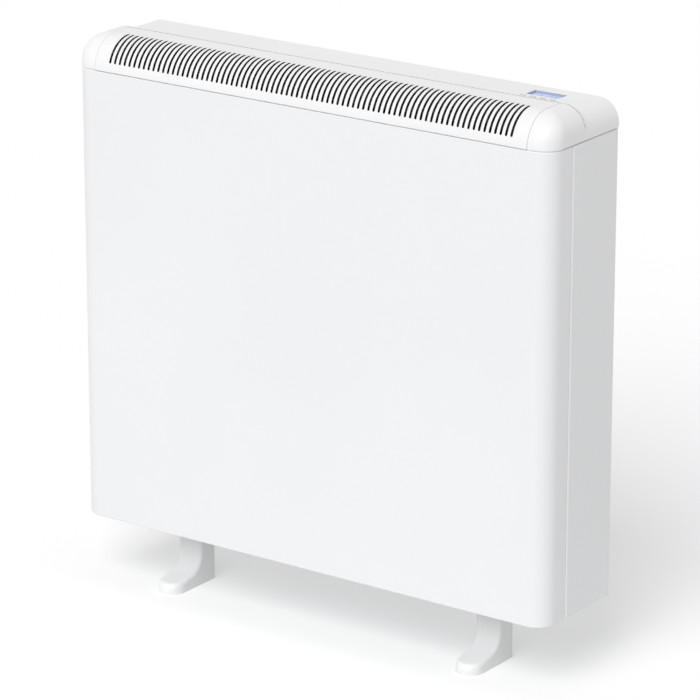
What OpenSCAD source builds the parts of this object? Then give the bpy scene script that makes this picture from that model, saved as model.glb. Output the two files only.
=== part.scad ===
// Electric storage heater on two moulded feet: sheet steel casing, one-piece top cover with a slotted
// warm air outlet along its nose, a brick heat store with three elements, a boost element and controls.
// Millimetres. The origin is on the floor below the middle of the casing, and the front faces -Y.

/* [Casing] */
// Overall width
case_w = 716; // [640:2:900]
// Overall depth
case_d = 148; // [146:1:190]
// Height of the front and side panels
panel_h = 598; // [590:2:760]
// Height of the panels' lower edge above the floor
foot_gap = 90; // [70:1:130]
// Plan radius of the front corners
corner_r = 27; // [22:1:32]
// Thickness of the casing sheet
sheet_t = 1.2; // [0.8:0.1:1.5]
// How far the front panel wraps back along each side
wrap_d = 48; // [40:1:60]
// Width of the folded flanges
flange_w = 12; // [9:1:13]
// Height of the folded hem along the panels' lower edge
hem_h = 3; // [2:0.5:5]
// Radius of the rolled hem at the end of each wrap
hem_r = 1.6; // [1.5:0.1:2.2]
// How far the side panels lie inside the front panel's wrap
side_step = 0; // [0:0.1:1.2]
// Joint between neighbouring panels
panel_gap = 0.6; // [0.4:0.1:0.9]
// How far the rear panel's flanges are set in from the rear edge
rear_set = 3; // [3:0.5:5]

/* [Top cover] */
// Radius of the nose, which is also the height of the cover above the panels
nose_r = 42; // [38:1:48]
// Depth of the nose, from the front to the groove behind it
nose_d = 72; // [66:1:76]
// Radius of the nose's rounded ends
nose_end_r = 33; // [28:1:34]
// Drop from the nose to the deck behind it
deck_step = 7; // [4:0.5:9]
// Radius of the deck's rounded ends
deck_end_r = 28; // [22:1:29]
// Wall of the cover moulding
cover_t = 2.5; // [2:0.1:3.2]
// Shadow gap between the cover and the panels below it
seam_gap = 1.2; // [0.8:0.1:2]
// Depth of the deck's front lip behind the groove
lip_h = 8; // [6:0.5:12]

/* [Outlet grille] */
// Distance from each end of the casing to the grille's end seam
grille_end = 35; // [30:1:80]
// Wall of the grille
grille_t = 2.2; // [1.8:0.1:2.6]
// Least plain length between the grille's end seams and the slots
slot_end = 18.5; // [12:0.5:60]
// Pitch of the slots
slot_pitch = 7.6; // [6:0.1:7.8]
// Width of a slot
slot_w = 3.4; // [2.5:0.1:3.8]
// Angle of the slots' lower ends round the nose
slot_from = 15; // [10:1:25]
// Angle of the slots' upper ends round the nose
slot_to = 84; // [70:1:86]

/* [Feet] */
// Distance from each end of the casing to the middle of a foot
foot_inset = 125; // [90:1:180]
// Width of a foot
foot_w = 37; // [32:1:46]
// Distance from the casing's front to the tip of the toe
toe_set = 9.5; // [6:0.5:14]
// Length of a foot, from the tip of the toe to its back
foot_l = 84.5; // [82:0.5:96]
// Thickness of the neck, from front to back
neck_t = 28; // [26:1:30]
// Height of the toe where the neck's curve runs out
toe_h = 17; // [15:1:19]
// Radius of the curve from the neck down to the toe
instep_r = 26; // [20:1:28]
// Rounding of the foot's edges
foot_edge_r = 4; // [2:0.5:5]

/* [Controls] */
// Distance from the right end to the middle of the display
display_from_end = 84; // [74:1:90]
// Distance from the rear edge to the middle of the display
display_back = 29; // [26:1:32]
// Width of the display's opening
display_w = 46; // [38:1:50]
// Depth of the display's opening, front to back
display_d = 22; // [16:1:24]
// Distance from the rear edge to the row of buttons
button_back = 49.5; // [48.5:0.5:51]
// Pitch of the buttons
button_pitch = 14; // [12:0.5:16]
// Width of a button
button_w = 8.5; // [6:0.5:9]
// Depth of a button, front to back
button_d = 4; // [3:0.5:5]
// Height that a button stands above the deck
button_h = 1.1; // [0.9:0.1:1.4]
// Travel of a button
button_travel = 0.8; // [0.5:0.1:0.9]
// Clearance round a button
button_clear = 0.3; // [0.2:0.05:0.4]

/* [Heat store] */
// Columns of bricks
brick_cols = 4; // [3:1:4]
// Height of a brick
brick_h = 160; // [150:1:160]
// Thickness of the insulation slabs
slab_t = 25; // [20:1:25]
// Thickness of the front insulation slab
front_slab_t = 20; // [16:1:20]
// Air duct between the front panel and the inner case
duct_t = 13; // [11:1:14]
// Height of the rails below the heat store
rail_h = 36; // [30:1:38]
// Air gap between the inner case and the left side panel
left_gap = 20; // [10:1:20]
// Air gap between the inner case and the rear panel
rear_gap = 9; // [8:0.5:12]
// Width of the wiring bay between the inner case and the right side panel
bay_w = 120; // [118:1:126]
// Radius of an element's sheath
element_r = 4; // [3:0.25:4]
// Distance between an element's two legs
leg_gap = 60; // [40:2:70]

/* [Fixings] */
// Distance between the two wall fixing holes
wall_spacing = 480; // [300:10:520]
// Height of the wall fixing holes above the floor
wall_fix_z = 620; // [560:5:640]
// Radius of a wall fixing hole
wall_hole_r = 3.5; // [2.5:0.25:4]
// Radius of the cable gland's bore
gland_r = 5; // [4:0.25:6]

/* [Hidden] */
eps = 0.01;
fit = 0.3;                               // seat clearance between pieces that do not touch
screw_gap = 0.5;                         // radial clearance of a hole that a screw passes through
pilot_gap = 0.1;                         // radial clearance of a hole that a screw is driven into
w2 = case_w / 2;
front_y = -case_d / 2;
rear_y = case_d / 2;
seam_z = foot_gap + panel_h;             // upper edge of the panels
top_z = seam_z + nose_r;
deck_z = top_z - deck_step;
groove_y = front_y + nose_d;
wrap_y = front_y + wrap_d;

// Casing planes
side_x = w2 - side_step;                 // outer face of a side panel
in_x = side_x - sheet_t;                 // its inner face
side_y0 = wrap_y + panel_gap;
rear_flange_w = 16;
flange_y = rear_y - rear_set - sheet_t;  // inner face of the side panels' rear flanges
back_y = flange_y - sheet_t;             // inner face of the rear panel
tray_z = foot_gap + hem_h + sheet_t;     // underside of the base tray
floor_z = tray_z + sheet_t;              // its upper face
tray_in = 2 * hem_r + fit;               // clear of the rolled hems
tray_wall_h = 20;
panel_screw_d = 3.2;
panel_screw_l = 7.5;
screw_edge = 4.5;                        // from a flange's edge to its screws
screw_end = 100;                         // from a panel's side edge to its outer screws
screw_end_z = 70;                        // from a side panel's ends to its outer screws
inlet_pitch = 11;                        // air inlets in the base tray
inlet_w = 3.8;
inlet_l = 34;
inlet_set = 6;                           // from the front panel's flange to the inlets

// Rear panel
field_in_x = 93;                         // pressed field, from the panel's edges
field_in_low = 102;
field_in_top = 162;
field_r = 20;
press_d = 2.4;                           // depth of the pressings
wall_pad_r = 18;
vent_n = 9;
vent_pitch = 8;
vent_w = 3.5;
vent_l = 44;
vent_drop = 90;                          // from the panel's upper edge to the middle of the vents
return_z = floor_z + tray_wall_h + 5;    // the vertical return flanges start above the tray

// Top cover
grille_w = case_w - 2 * grille_end;
grille_x = grille_w / 2;
slot_count = floor((grille_w - 2 * slot_end) / slot_pitch);
end_x = grille_x + 0.4;                  // the cover's nose ends start here
step_gap = 0.6;                          // groove between the grille and the deck
seat_in = 1.6;                           // inset of the seating lip from the outer face
seat_t = 1.2;
slice_n = 18;                            // slices of a nose end
arc_n = 12;                              // points round its corner
tab_w = 30;
tab_t = 3;
tab_h = 18;
tab_end = 112;                           // from the cover's ends to its outer tabs
tab_x = [for (k = [-1:1]) k * (w2 - tab_end)];
tab_y = back_y - 0.2 - tab_t;
tab_rise = 10;
tab_screw_d = 3;
tab_screw_z = seam_z - tab_h / 2 - sheet_t;
rib_h = 8;                               // stiffening ribs below the deck
rib_t = 1.6;
hook_n = 5;                              // hooks that hold the grille to the front panel
hook_w = 16;
hook_t = 2.1;
hook_drop = 6;
web_t = 2;                               // end webs of the grille
web_w = 6;

// Feet
foot_x = w2 - foot_inset;
toe_y = front_y + toe_set;
heel_y = toe_y + foot_l;
neck_y = heel_y - neck_t;
rim_h = 2.2;                             // base rim of a foot
rim_out = 0.5;
toe_round = 8;                           // horizontal reach of the toe's rounding
toe_fall = 3;                            // from the end of the neck's curve to the top of the toe's rounding
foot_bolt_d = 5;
foot_bolt_x = 10;
foot_bolt_y = heel_y - neck_t / 2;
foot_bolt_l = 15;

// Inner case
case_x0 = -in_x + left_gap;              // outer face of the inner case's left wall
case_x1 = in_x - bay_w;                  // outer face of its right wall
store_x0 = case_x0 + sheet_t + slab_t;
store_x1 = case_x1 - slab_t - sheet_t;
store_w = store_x1 - store_x0;
brick_w = store_w / brick_cols;
core_y0 = front_y + sheet_t + duct_t;    // outer face of the inner front cover
core_y1 = back_y - rear_gap;             // outer face of the inner rear wall
brick_y0 = core_y0 + sheet_t + front_slab_t;
brick_y1 = core_y1 - sheet_t - slab_t;
brick_t = (brick_y1 - brick_y0) / 2;
mid_y = brick_y0 + brick_t;              // the elements lie in this plane
rail_z = floor_z + rail_h;               // underside of the core tray
slab_z0 = rail_z + sheet_t;
brick_z0 = slab_z0 + slab_t;
brick_rows = 3;
brick_z1 = brick_z0 + brick_rows * brick_h;
core_z1 = brick_z1 + slab_t;             // underside of the inner top cover
brick_gap = 0.3;
groove_r = element_r + fit;
leg_z = function(row, side) brick_z0 + (row + 0.5) * brick_h + side * leg_gap / 2;
bend_x = store_x0 + brick_w * 0.45;      // centre of the hairpins' bends
bush_r = 7;
bush_rim = 3;
bush_out = 5;
pin_x = case_x1 + bush_out + 4;          // end of an element's sheath
pin_r = 1.5;                             // terminal pin of an element
pin_l = 10;
probe_r = 2;
probe_l = 90;
rail_t = 1.5;
rail_w = 15;
rail_end = 30;                           // from the inner case's ends to the outer rails
core_screw_d = 3;
core_screw_in = 12;
core_screw_end = 60;
bead_n = 3;                              // stiffening beads of the inner front cover
bead_h = 3;
bead_r = 8;

// Wiring bay, to the right of the inner case
plate_in = 54;                           // from the electronics plate to the right side panel
plate_set = 24;                          // from the casing's front and rear to the plate
plate_x = in_x - plate_in;
plate_y0 = front_y + plate_set;
plate_d = case_d - 2 * plate_set;
plate_h = 250;
plate_foot = 14;
earth_x = plate_x + plate_foot;
earth_y = plate_y0 + 10;
stud_r = 2.3;
pillar_l = 8;
pillar_r = 3;
pcb_t = 1.6;
gland_x = plate_x + 22;
gland_y = plate_y0 + plate_d - 12;
gland_wall = 3;
gland_rim = 6;
gland_head_h = 4;
gland_nut_h = 3.5;
gland_thread_h = 8;
clamp_w = 2 * gland_r + 18;
clamp_d = 10;
clamp_back = 42;                         // from the gland to the cord clamp
strip_l = 46;                            // connector strip for the element leads
strip_h = 14;
strip_z = leg_z(0, -1) - 22;             // its upper face
lead_n = 2 * brick_rows;
lead_pitch = 5;
lead_r = 1.3;
lead_in = 5;                             // depth of a lead's end in the strip

// Control module below the deck
display_x = w2 - display_from_end;
display_y = rear_y - display_back;
button_y = rear_y - button_back;
under_z = deck_z - cover_t;              // underside of the deck
lens_t = 1;
lens_margin = 1.4;
lcd_h = 6.5;
board_z = under_z - lens_t - lcd_h;      // upper face of the control board
board_w = 76;
board_d = 50;
board_y = (display_y + button_y) / 2 + 1;
boss_x = board_w / 2 - 4;
boss_y = board_d / 2 - 6.5;
boss_r = 3;
board_screw_d = 2.2;
board_screw_l = 6;
flange_t = 1.2;                          // flange that holds a button under the deck
flange_out = 1.2;
stem_r = 1.6;
stem_h = 2;
crown = 0.4;                             // step round a button's upper face
mat_t = 0.8;
display_r = 1.2;                         // corners of the display's opening
header_h = 5;                            // ribbon header on a board
ribbon_w = 12;
ribbon_t = 1;
button_z = under_z - fit;                // upper face of a button's flange

// Colours
panel_white = [0.93, 0.93, 0.94];
cover_white = [0.97, 0.97, 0.97];
galvanised = [0.72, 0.74, 0.76];
brick_brown = [0.35, 0.24, 0.20];
slab_cream = [0.88, 0.84, 0.74];
sheath_grey = [0.42, 0.42, 0.44];
board_green = [0.12, 0.40, 0.25];

// ---------------------------------------------------------------- shared shapes

module mirrored() {
    children();
    mirror([1, 0, 0]) children();
}

// Box given by its lowest corner and its size
module block(p, s) {
    translate(p) cube(s);
}

// Cylinder along X from x0 to x1
module rod_x(x0, x1, y, z, r) {
    translate([x0, y, z]) rotate([0, 90, 0]) cylinder(r = r, h = x1 - x0, $fn = 48);
}

// Cylinder along Y from y0 to y1
module rod_y(x, y0, y1, z, r) {
    translate([x, y0, z]) rotate([-90, 0, 0]) cylinder(r = r, h = y1 - y0, $fn = 48);
}

// Rectangle with rounded corners, centred
module rounded(w, d, r) {
    square([w, d - 2 * r], center = true);
    square([w - 2 * r, d], center = true);
    for (sx = [-1, 1], sy = [-1, 1])
        translate([sx * (w / 2 - r), sy * (d / 2 - r)]) circle(r = r, $fn = 32);
}

// Plan of the casing inside a wall of thickness i, from the rounded front to the plane y1
module plan(i, y1) {
    r = corner_r - i;
    y0 = front_y + i;
    translate([-(w2 - i), y0 + r]) square([2 * (w2 - i), y1 - y0 - r]);
    translate([-(w2 - i - r), y0]) square([2 * (w2 - i - r), r + eps]);
    intersection() {
        for (s = [-1, 1])
            translate([s * (w2 - i - r), y0 + r]) circle(r = r, $fn = 96);
        translate([-w2, y0]) square([case_w, r + eps]);
    }
}

// Band of the plan between two insets
module plan_band(i0, i1, y1, z, h, close = 0) {
    translate([0, 0, z]) linear_extrude(h) difference() {
        plan(i0, y1);
        plan(i1, y1 + 1 - close);
    }
}

// Pan head screw along +Z, its head above z = 0
module pan_screw(d, l) {
    head_r = d * 0.95;
    head_h = d * 0.5;
    difference() {
        union() {
            rotate_extrude($fn = 32) intersection() {
                translate([0, head_h - head_r * 1.3]) circle(r = head_r * 1.3, $fn = 64);
                square([head_r, head_h]);
            }
            translate([0, 0, -l]) cylinder(d = d, h = l + eps, $fn = 32);
        }
        for (a = [0, 90])
            rotate([0, 0, a]) translate([0, 0, head_h]) cube([d * 1.1, d * 0.22, d * 0.5], center = true);
    }
}

// Round wire through a list of points
module wire(points, r) {
    for (k = [0:len(points) - 2]) {
        v = points[k + 1] - points[k];
        l = norm(v);
        translate(points[k]) rotate([0, acos(v[2] / l), atan2(v[1], v[0])])
            cylinder(r = r, h = l, $fn = 16);
    }
    for (k = [1:1:len(points) - 2])
        translate(points[k]) sphere(r = r, $fn = 16);
}

// Hairpin in the plane y, with its bend at x = bx and its legs running to x1
module hairpin(bx, x1, y, z0, z1, r) {
    bend_r = (z1 - z0) / 2;
    rod_x(bx, x1, y, z0, r);
    rod_x(bx, x1, y, z1, r);
    translate([bx, y, (z0 + z1) / 2]) rotate([90, 0, 0]) rotate([0, 0, 90])
        rotate_extrude(angle = 180, $fn = 64) translate([bend_r, 0]) circle(r = r, $fn = 48);
}

// ---------------------------------------------------------------- casing

front_screw_x = [for (k = [-1:1]) k * (w2 - screw_end)];
front_screw_y = front_y + flange_w - screw_edge;

module front_panel() color(panel_white) difference() {
    union() {
        plan_band(0, sheet_t, wrap_y - hem_r, foot_gap, panel_h);
        plan_band(sheet_t - eps, 2 * sheet_t, wrap_y - hem_r, foot_gap, hem_h + sheet_t);
        plan_band(0, flange_w, wrap_y - hem_r, seam_z - sheet_t, sheet_t);
        plan_band(0, flange_w, wrap_y - hem_r, tray_z - sheet_t, sheet_t);
        mirrored() {
            translate([w2 - hem_r, wrap_y - hem_r, foot_gap]) cylinder(r = hem_r, h = panel_h, $fn = 32);
            block([w2 - flange_w, wrap_y - sheet_t, return_z],
                [flange_w - hem_r, sheet_t, seam_z - return_z]);
        }
    }
    for (x = front_screw_x)
        translate([x, front_screw_y, foot_gap - 1]) 
            cylinder(d = panel_screw_d + 2 * screw_gap, h = 3 * hem_h, $fn = 32);
}

side_screw_z = [foot_gap + screw_end_z, foot_gap + panel_h / 2, seam_z - screw_end_z];
side_screw_x = in_x - rear_flange_w / 2;

module right_side_panel() color(panel_white) difference() {
    union() {
        block([in_x, side_y0, foot_gap], [sheet_t, rear_y - side_y0, panel_h]);
        block([in_x - sheet_t, side_y0, foot_gap], [sheet_t + eps, flange_y - side_y0, hem_h + sheet_t]);
        block([side_x - flange_w, side_y0, return_z], [flange_w, sheet_t, seam_z - return_z]);
        block([side_x - flange_w, side_y0, seam_z - sheet_t], [flange_w, rear_y - side_y0, sheet_t]);
        block([side_x - flange_w, side_y0, tray_z - sheet_t], [flange_w, flange_y - side_y0, sheet_t]);
        block([in_x - rear_flange_w, flange_y, foot_gap], [rear_flange_w + eps, sheet_t, panel_h]);
    }
    for (z = side_screw_z)
        rod_y(side_screw_x, flange_y - 1, rear_y, z, panel_screw_d / 2 + screw_gap);
}

// The left panel is the right one's mirror image
module left_side_panel() mirror([1, 0, 0]) right_side_panel();

// Pressed field of the rear panel, drawn in by i
module rear_field(i, y0, y1) {
    w = case_w - 2 * (field_in_x + i);
    h = panel_h - field_in_low - field_in_top - 2 * i;
    z = (foot_gap + field_in_low + seam_z - field_in_top) / 2;
    translate([0, y1, z]) rotate([90, 0, 0]) linear_extrude(y1 - y0) rounded(w, h, field_r - i);
}

module rear_panel() color(galvanised) {
    outer_y = flange_y;
    half = in_x - fit;
    wall_x = wall_spacing / 2;
    vent_x = (case_x1 + in_x) / 2 - 4;
    difference() {
        union() {
            block([-half, outer_y - sheet_t, tray_z], [2 * half, sheet_t, seam_z - sheet_t - tray_z]);
            rear_field(0, outer_y - sheet_t - press_d, outer_y);
            for (s = [-1, 1])
                rod_y(s * wall_x, outer_y - eps, outer_y + press_d, wall_fix_z, wall_pad_r);
        }
        rear_field(sheet_t, outer_y - press_d, outer_y + 1);
        for (s = [-1, 1]) {
            rod_y(s * wall_x, outer_y - 2 * sheet_t, outer_y + press_d - sheet_t, wall_fix_z,
                wall_pad_r - sheet_t);
            rod_y(s * wall_x, outer_y - 1, rear_y, wall_fix_z, wall_hole_r);
        }
        for (s = [-1, 1], z = side_screw_z)
            rod_y(s * side_screw_x, outer_y - 5, rear_y, z, panel_screw_d / 2 + pilot_gap);
        for (x = tab_x)
            rod_y(x, outer_y - 5, rear_y, tab_screw_z, tab_screw_d / 2 + screw_gap);
        for (k = [0:vent_n - 1])
            translate([vent_x + (k - (vent_n - 1) / 2) * vent_pitch, outer_y + 1, seam_z - vent_drop])
                rotate([90, 0, 0]) linear_extrude(sheet_t + 2) rounded(vent_w, vent_l, vent_w / 2 - 0.05);
    }
}

inlet_n = floor((case_w - 2 * (corner_r + flange_w)) / inlet_pitch);
inlet_y = front_y + flange_w + inlet_set + inlet_l / 2;

module tray_hole(x, y, r) {
    translate([x, y, tray_z - 1]) cylinder(r = r, h = sheet_t + 2, $fn = 48);
}

module base_tray() color(galvanised) difference() {
    union() {
        translate([0, 0, tray_z]) linear_extrude(sheet_t) plan(tray_in, back_y);
        plan_band(tray_in, tray_in + sheet_t, back_y, tray_z, sheet_t + tray_wall_h, 1 + sheet_t);
    }
    for (k = [0:inlet_n - 1])
        translate([(k - (inlet_n - 1) / 2) * inlet_pitch, inlet_y, tray_z - 1])
            linear_extrude(sheet_t + 2) rounded(inlet_w, inlet_l, inlet_w / 2 - 0.05);
    for (x = front_screw_x) tray_hole(x, front_screw_y, panel_screw_d / 2 + pilot_gap);
    for (s = [-1, 1], b = [-1, 1])
        tray_hole(s * foot_x + b * foot_bolt_x, foot_bolt_y, foot_bolt_d / 2 + pilot_gap);
    tray_hole(gland_x, gland_y, gland_r + gland_wall + fit);
    tray_hole(earth_x, earth_y, stud_r + pilot_gap);
}

// ---------------------------------------------------------------- top cover

// Inset of the nose's front face, of its end face and the radius between them, at the height h above
// the seam, on the surface that lies i inside the outer one
function front_in(h, i) = nose_r - sqrt(max(0, pow(nose_r - i, 2) - h * h));
function end_in(h, i) = let (q = max(0, h - (nose_r - nose_end_r)))
    nose_end_r - sqrt(max(0, pow(nose_end_r - i, 2) - q * q));
function corner_at(h, i) = (corner_r - i) * sqrt(max(0, 1 - pow(h / (nose_r - i), 2)));

function nose_slice(h, i, x0) = let (
        c = corner_at(h, i),
        cx = w2 - end_in(h, i) - c,
        cy = front_y + front_in(h, i) + c,
        y1 = groove_y - i
    ) concat([[x0, y1], [x0, cy - c]],
        [for (k = [0:arc_n]) let (a = 90 * k / arc_n) [cx + c * sin(a), cy - c * cos(a)]],
        [[cx + c, y1]]);

// Ball-shaped end of the nose, lofted through level slices
module nose_end(i, x0, h0) {
    h1 = nose_r - i;
    a0 = asin(h0 / h1);
    hull() for (k = [0:slice_n]) {
        h = h1 * sin(a0 + (90 - a0) * k / slice_n);
        translate([0, 0, seam_z + h - (k == 0 ? 0 : eps)]) linear_extrude(eps)
            polygon(nose_slice(h, i, x0));
    }
}

// Section of the cover behind the groove, drawn in X and Z above the seam
module deck_section(i, h0) {
    h = nose_r - deck_step - i;
    r = deck_end_r - i;
    translate([-(w2 - i), h0]) square([2 * (w2 - i), h - r - h0]);
    translate([-(w2 - i - r), h - r - eps]) square([2 * (w2 - i - r), r + eps]);
    intersection() {
        for (s = [-1, 1])
            translate([s * (w2 - i - r), h - r]) circle(r = r, $fn = 96);
        translate([-w2, h - r - eps]) square([case_w, r + eps]);
    }
}

module deck_body(i, h0, y0, y1) {
    translate([0, y1, seam_z]) rotate([90, 0, 0]) linear_extrude(y1 - y0) deck_section(i, h0);
}

module pill(w, d) {
    for (s = [-1, 1])
        translate([s * (w - d) / 2, 0]) circle(d = d, $fn = 32);
    square([w - d, d], center = true);
}

button_x = function(k) display_x + (k - 1.5) * button_pitch;

module top_cover() color(cover_white) {
    deck_y0 = groove_y + step_gap;
    difference() {
        union() {
            deck_body(0, seam_gap, deck_y0, rear_y);
            mirrored() {
                nose_end(0, end_x, seam_gap);
                intersection() {
                    deck_body(0, seam_gap, groove_y - cover_t, deck_y0 + 1);
                    block([end_x, groove_y - cover_t, seam_z], [w2, cover_t + 2, nose_r]);
                }
            }
        }
        deck_body(cover_t, -1, deck_y0 + cover_t, rear_y - cover_t);
        mirrored() nose_end(cover_t, end_x - 1, 0);
        block([-(w2 - cover_t), groove_y - cover_t - 2, seam_z - 1],
            [2 * (w2 - cover_t), 2 * cover_t + 5, nose_r - deck_step - lip_h + 1]);
        translate([display_x, display_y, under_z - 1]) linear_extrude(cover_t + 2)
            rounded(display_w, display_d, display_r);
        for (k = [0:3])
            translate([button_x(k), button_y, under_z - 1]) linear_extrude(cover_t + 2)
                pill(button_w + 2 * button_clear, button_d + 2 * button_clear);
    }
    cover_seat();
    cover_ribs();
    for (x = tab_x) cover_tab(x);
    control_bosses();
}

// Lip that stands on the panels' flanges, inside the shadow gap
module cover_seat() difference() {
    plan_band(seat_in, seat_in + seat_t, rear_y - seat_in, seam_z, seam_gap + 2, 1 + seat_t);
    block([-end_x, front_y - 1, seam_z - 1], [2 * end_x, corner_r, seam_gap + 4]);
}

// Stiffening ribs below the deck
module cover_ribs() {
    y0 = groove_y + step_gap + cover_t;
    for (k = [-3, -1, 1]) block([k * w2 / 4 - rib_t / 2, y0 - eps, under_z - rib_h],
        [rib_t, rear_y - cover_t - y0 + 2 * eps, rib_h + eps]);
}

// Tab that the cover is screwed to the rear panel by
module cover_tab(x) difference() {
    union() {
        block([x - tab_w / 2, tab_y, seam_z - tab_h], [tab_w, tab_t, tab_h + tab_rise]);
        block([x - tab_w / 2, tab_y, seam_z + seam_gap + 2],
            [tab_w, rear_y - cover_t - tab_y + eps, tab_rise - seam_gap - 2]);
    }
    rod_y(x, tab_y - 1, rear_y, tab_screw_z, tab_screw_d / 2 + pilot_gap);
}

// Bosses that carry the control board
module control_bosses() {
    for (sx = [-1, 1], sy = [-1, 1])
        translate([display_x + sx * boss_x, board_y + sy * boss_y, board_z]) difference() {
            cylinder(r = boss_r, h = under_z - board_z + eps, $fn = 32);
            translate([0, 0, -1]) cylinder(d = board_screw_d + 2 * pilot_gap, h = board_screw_l, $fn = 24);
        }
}

// ---------------------------------------------------------------- outlet grille

// Section of the nose, drawn in Y and Z
module nose_section(i) {
    intersection() {
        translate([front_y + nose_r, seam_z]) circle(r = nose_r - i, $fn = 96);
        translate([front_y, seam_z]) square([nose_r, nose_r]);
    }
    translate([front_y + nose_r, seam_z]) square([nose_d - nose_r - i, nose_r - i]);
}

// One slot with round ends, curved with the nose
module slot_cutter() {
    r0 = nose_r - grille_t - 2;
    translate([0, front_y + nose_r, seam_z]) rotate([0, 90, 0]) {
        rotate([0, 0, -90 - slot_to]) rotate_extrude(angle = slot_to - slot_from, $fn = 96)
            translate([r0, -slot_w / 2]) square([grille_t + 4, slot_w]);
        for (a = [slot_from, slot_to])
            rotate([0, 0, -90 - a]) translate([r0, 0, 0]) rotate([0, 90, 0])
                cylinder(d = slot_w, h = grille_t + 4, $fn = 32);
    }
}

// Extrusion along X of a section drawn in Y and Z
module along_x(x0, x1) {
    translate([x0, 0, 0]) rotate([90, 0, 90]) linear_extrude(x1 - x0) children();
}

module outlet_grille() color(cover_white) {
    difference() {
        along_x(-grille_x, grille_x) difference() {
            nose_section(0);
            nose_section(grille_t);
            translate([front_y - 1, seam_z - 1]) square([2 * nose_d, 1 + seam_gap]);
            translate([groove_y - grille_t - 1, seam_z]) square([grille_t + 2, nose_r - deck_step - lip_h]);
        }
        for (k = [0:slot_count - 1])
            translate([(k - (slot_count - 1) / 2) * slot_pitch, 0, 0]) slot_cutter();
    }
    // seating lip on the front panel's flange, below the shadow gap
    block([-grille_x, front_y + seat_in, seam_z], [grille_w, seat_t, seam_gap + 2]);
    // end webs
    mirrored() along_x(grille_x - web_t, grille_x) difference() {
        nose_section(grille_t - eps);
        nose_section(grille_t + web_w);
        translate([front_y - 1, seam_z - 1]) square([2 * nose_d, seam_gap + 4]);
        translate([groove_y - 2 * web_w, seam_z]) square([3 * web_w, nose_r - deck_step - lip_h]);
    }
    // hooks that snap behind the front panel's flange
    hook_y = front_y + flange_w + 0.4;
    for (k = [0:hook_n - 1]) translate([(k - (hook_n - 1) / 2) * grille_w / hook_n - hook_w / 2, 0, seam_z]) {
        block([0, front_y + seat_in, fit], [hook_w, hook_y + hook_t - front_y - seat_in, hook_t]);
        block([0, hook_y, -hook_drop], [hook_w, hook_t, hook_drop + fit + eps]);
        block([0, hook_y - 1.6, -hook_drop + 2], [hook_w, 1.6 + eps, hook_drop - 2 - sheet_t - fit]);
    }
}

// ---------------------------------------------------------------- feet

// Outline of a foot in Y and Z at the distance x from its middle plane
function foot_section(x) = let (
        e = foot_edge_r - sqrt(pow(foot_edge_r, 2) - pow(max(0, abs(x) - (foot_w / 2 - foot_edge_r)), 2)),
        tip = toe_y + foot_w / 2 - sqrt(max(0, pow(foot_w / 2, 2) - x * x)),
        cy = neck_y - instep_r,
        cz = toe_h + instep_r,
        h = toe_h - toe_fall - e
    ) concat(
        [[heel_y, rim_h], [heel_y, tray_z], [neck_y + e, tray_z]],
        [for (k = [0:6]) let (a = 90 * k / 6) [cy + (instep_r + e) * cos(a), cz - (instep_r + e) * sin(a)]],
        [for (k = [0:6]) let (a = 90 * k / 6)
            [tip + toe_round * (1 - cos(90 - a)), rim_h + (h - rim_h) * sin(90 - a)]]);

foot_xs = [for (a = [-90:15:90]) foot_w / 2 * sin(a)];

// Lofted body: sections side by side from one flank to the other
module foot_body() {
    n = len(foot_section(0));
    m = len(foot_xs);
    points = [for (x = foot_xs) for (p = foot_section(x)) [x, p[0], p[1]]];
    bands = [for (j = [0:m - 2]) for (k = [0:n - 1]) let (
            a = j * n + k,
            b = j * n + (k + 1) % n
        ) each [[a, b + n, b], [a, a + n, b + n]]];
    flanks = [[for (k = [0:n - 1]) k], [for (k = [n - 1:-1:0]) (m - 1) * n + k]];
    polyhedron(points = points, faces = concat(bands, flanks), convexity = 6);
}

module foot() color(cover_white) difference() {
    union() {
        foot_body();
        linear_extrude(rim_h) {
            translate([0, toe_y + foot_w / 2]) circle(r = foot_w / 2 + rim_out, $fn = 64);
            translate([-foot_w / 2 - rim_out, toe_y + foot_w / 2])
                square([foot_w + 2 * rim_out, foot_l - foot_w / 2 + rim_out]);
        }
    }
    for (b = [-1, 1])
        translate([b * foot_bolt_x, foot_bolt_y, tray_z - foot_bolt_l])
            cylinder(d = foot_bolt_d + 2 * pilot_gap, h = foot_bolt_l + 1, $fn = 32);
}

module left_foot() translate([-foot_x, 0, 0]) foot();
module right_foot() translate([foot_x, 0, 0]) foot();

// ---------------------------------------------------------------- screws

module foot_screws() color("silver") for (s = [-1, 1], b = [-1, 1])
    translate([s * foot_x + b * foot_bolt_x, foot_bolt_y, floor_z]) pan_screw(foot_bolt_d, foot_bolt_l);

module front_panel_screws() color("silver") for (x = front_screw_x)
    translate([x, front_screw_y, tray_z - sheet_t]) rotate([180, 0, 0])
        pan_screw(panel_screw_d, panel_screw_l);

module rear_panel_screws() color("silver") for (s = [-1, 1], z = side_screw_z)
    translate([s * side_screw_x, rear_y - rear_set, z]) rotate([-90, 0, 0])
        pan_screw(panel_screw_d, panel_screw_l);

module cover_screws() color("silver") for (x = tab_x)
    translate([x, flange_y, tab_screw_z]) rotate([-90, 0, 0]) pan_screw(tab_screw_d, panel_screw_l);

module board_screws() color("silver") for (sx = [-1, 1], sy = [-1, 1])
    translate([display_x + sx * boss_x, board_y + sy * boss_y, board_z - pcb_t])
        rotate([180, 0, 0]) pan_screw(board_screw_d, board_screw_l);

// ---------------------------------------------------------------- controls

module display_lens() color([0.85, 0.9, 0.95]) translate([display_x, display_y, under_z - lens_t])
    linear_extrude(lens_t) rounded(display_w + 2 * lens_margin, display_d + 2 * lens_margin, 1.5);

module display_module() color([0.62, 0.70, 0.90]) translate([display_x, display_y, board_z])
    linear_extrude(lcd_h) rounded(display_w + 2 * lens_margin, display_d + 2 * lens_margin, 1);

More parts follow.
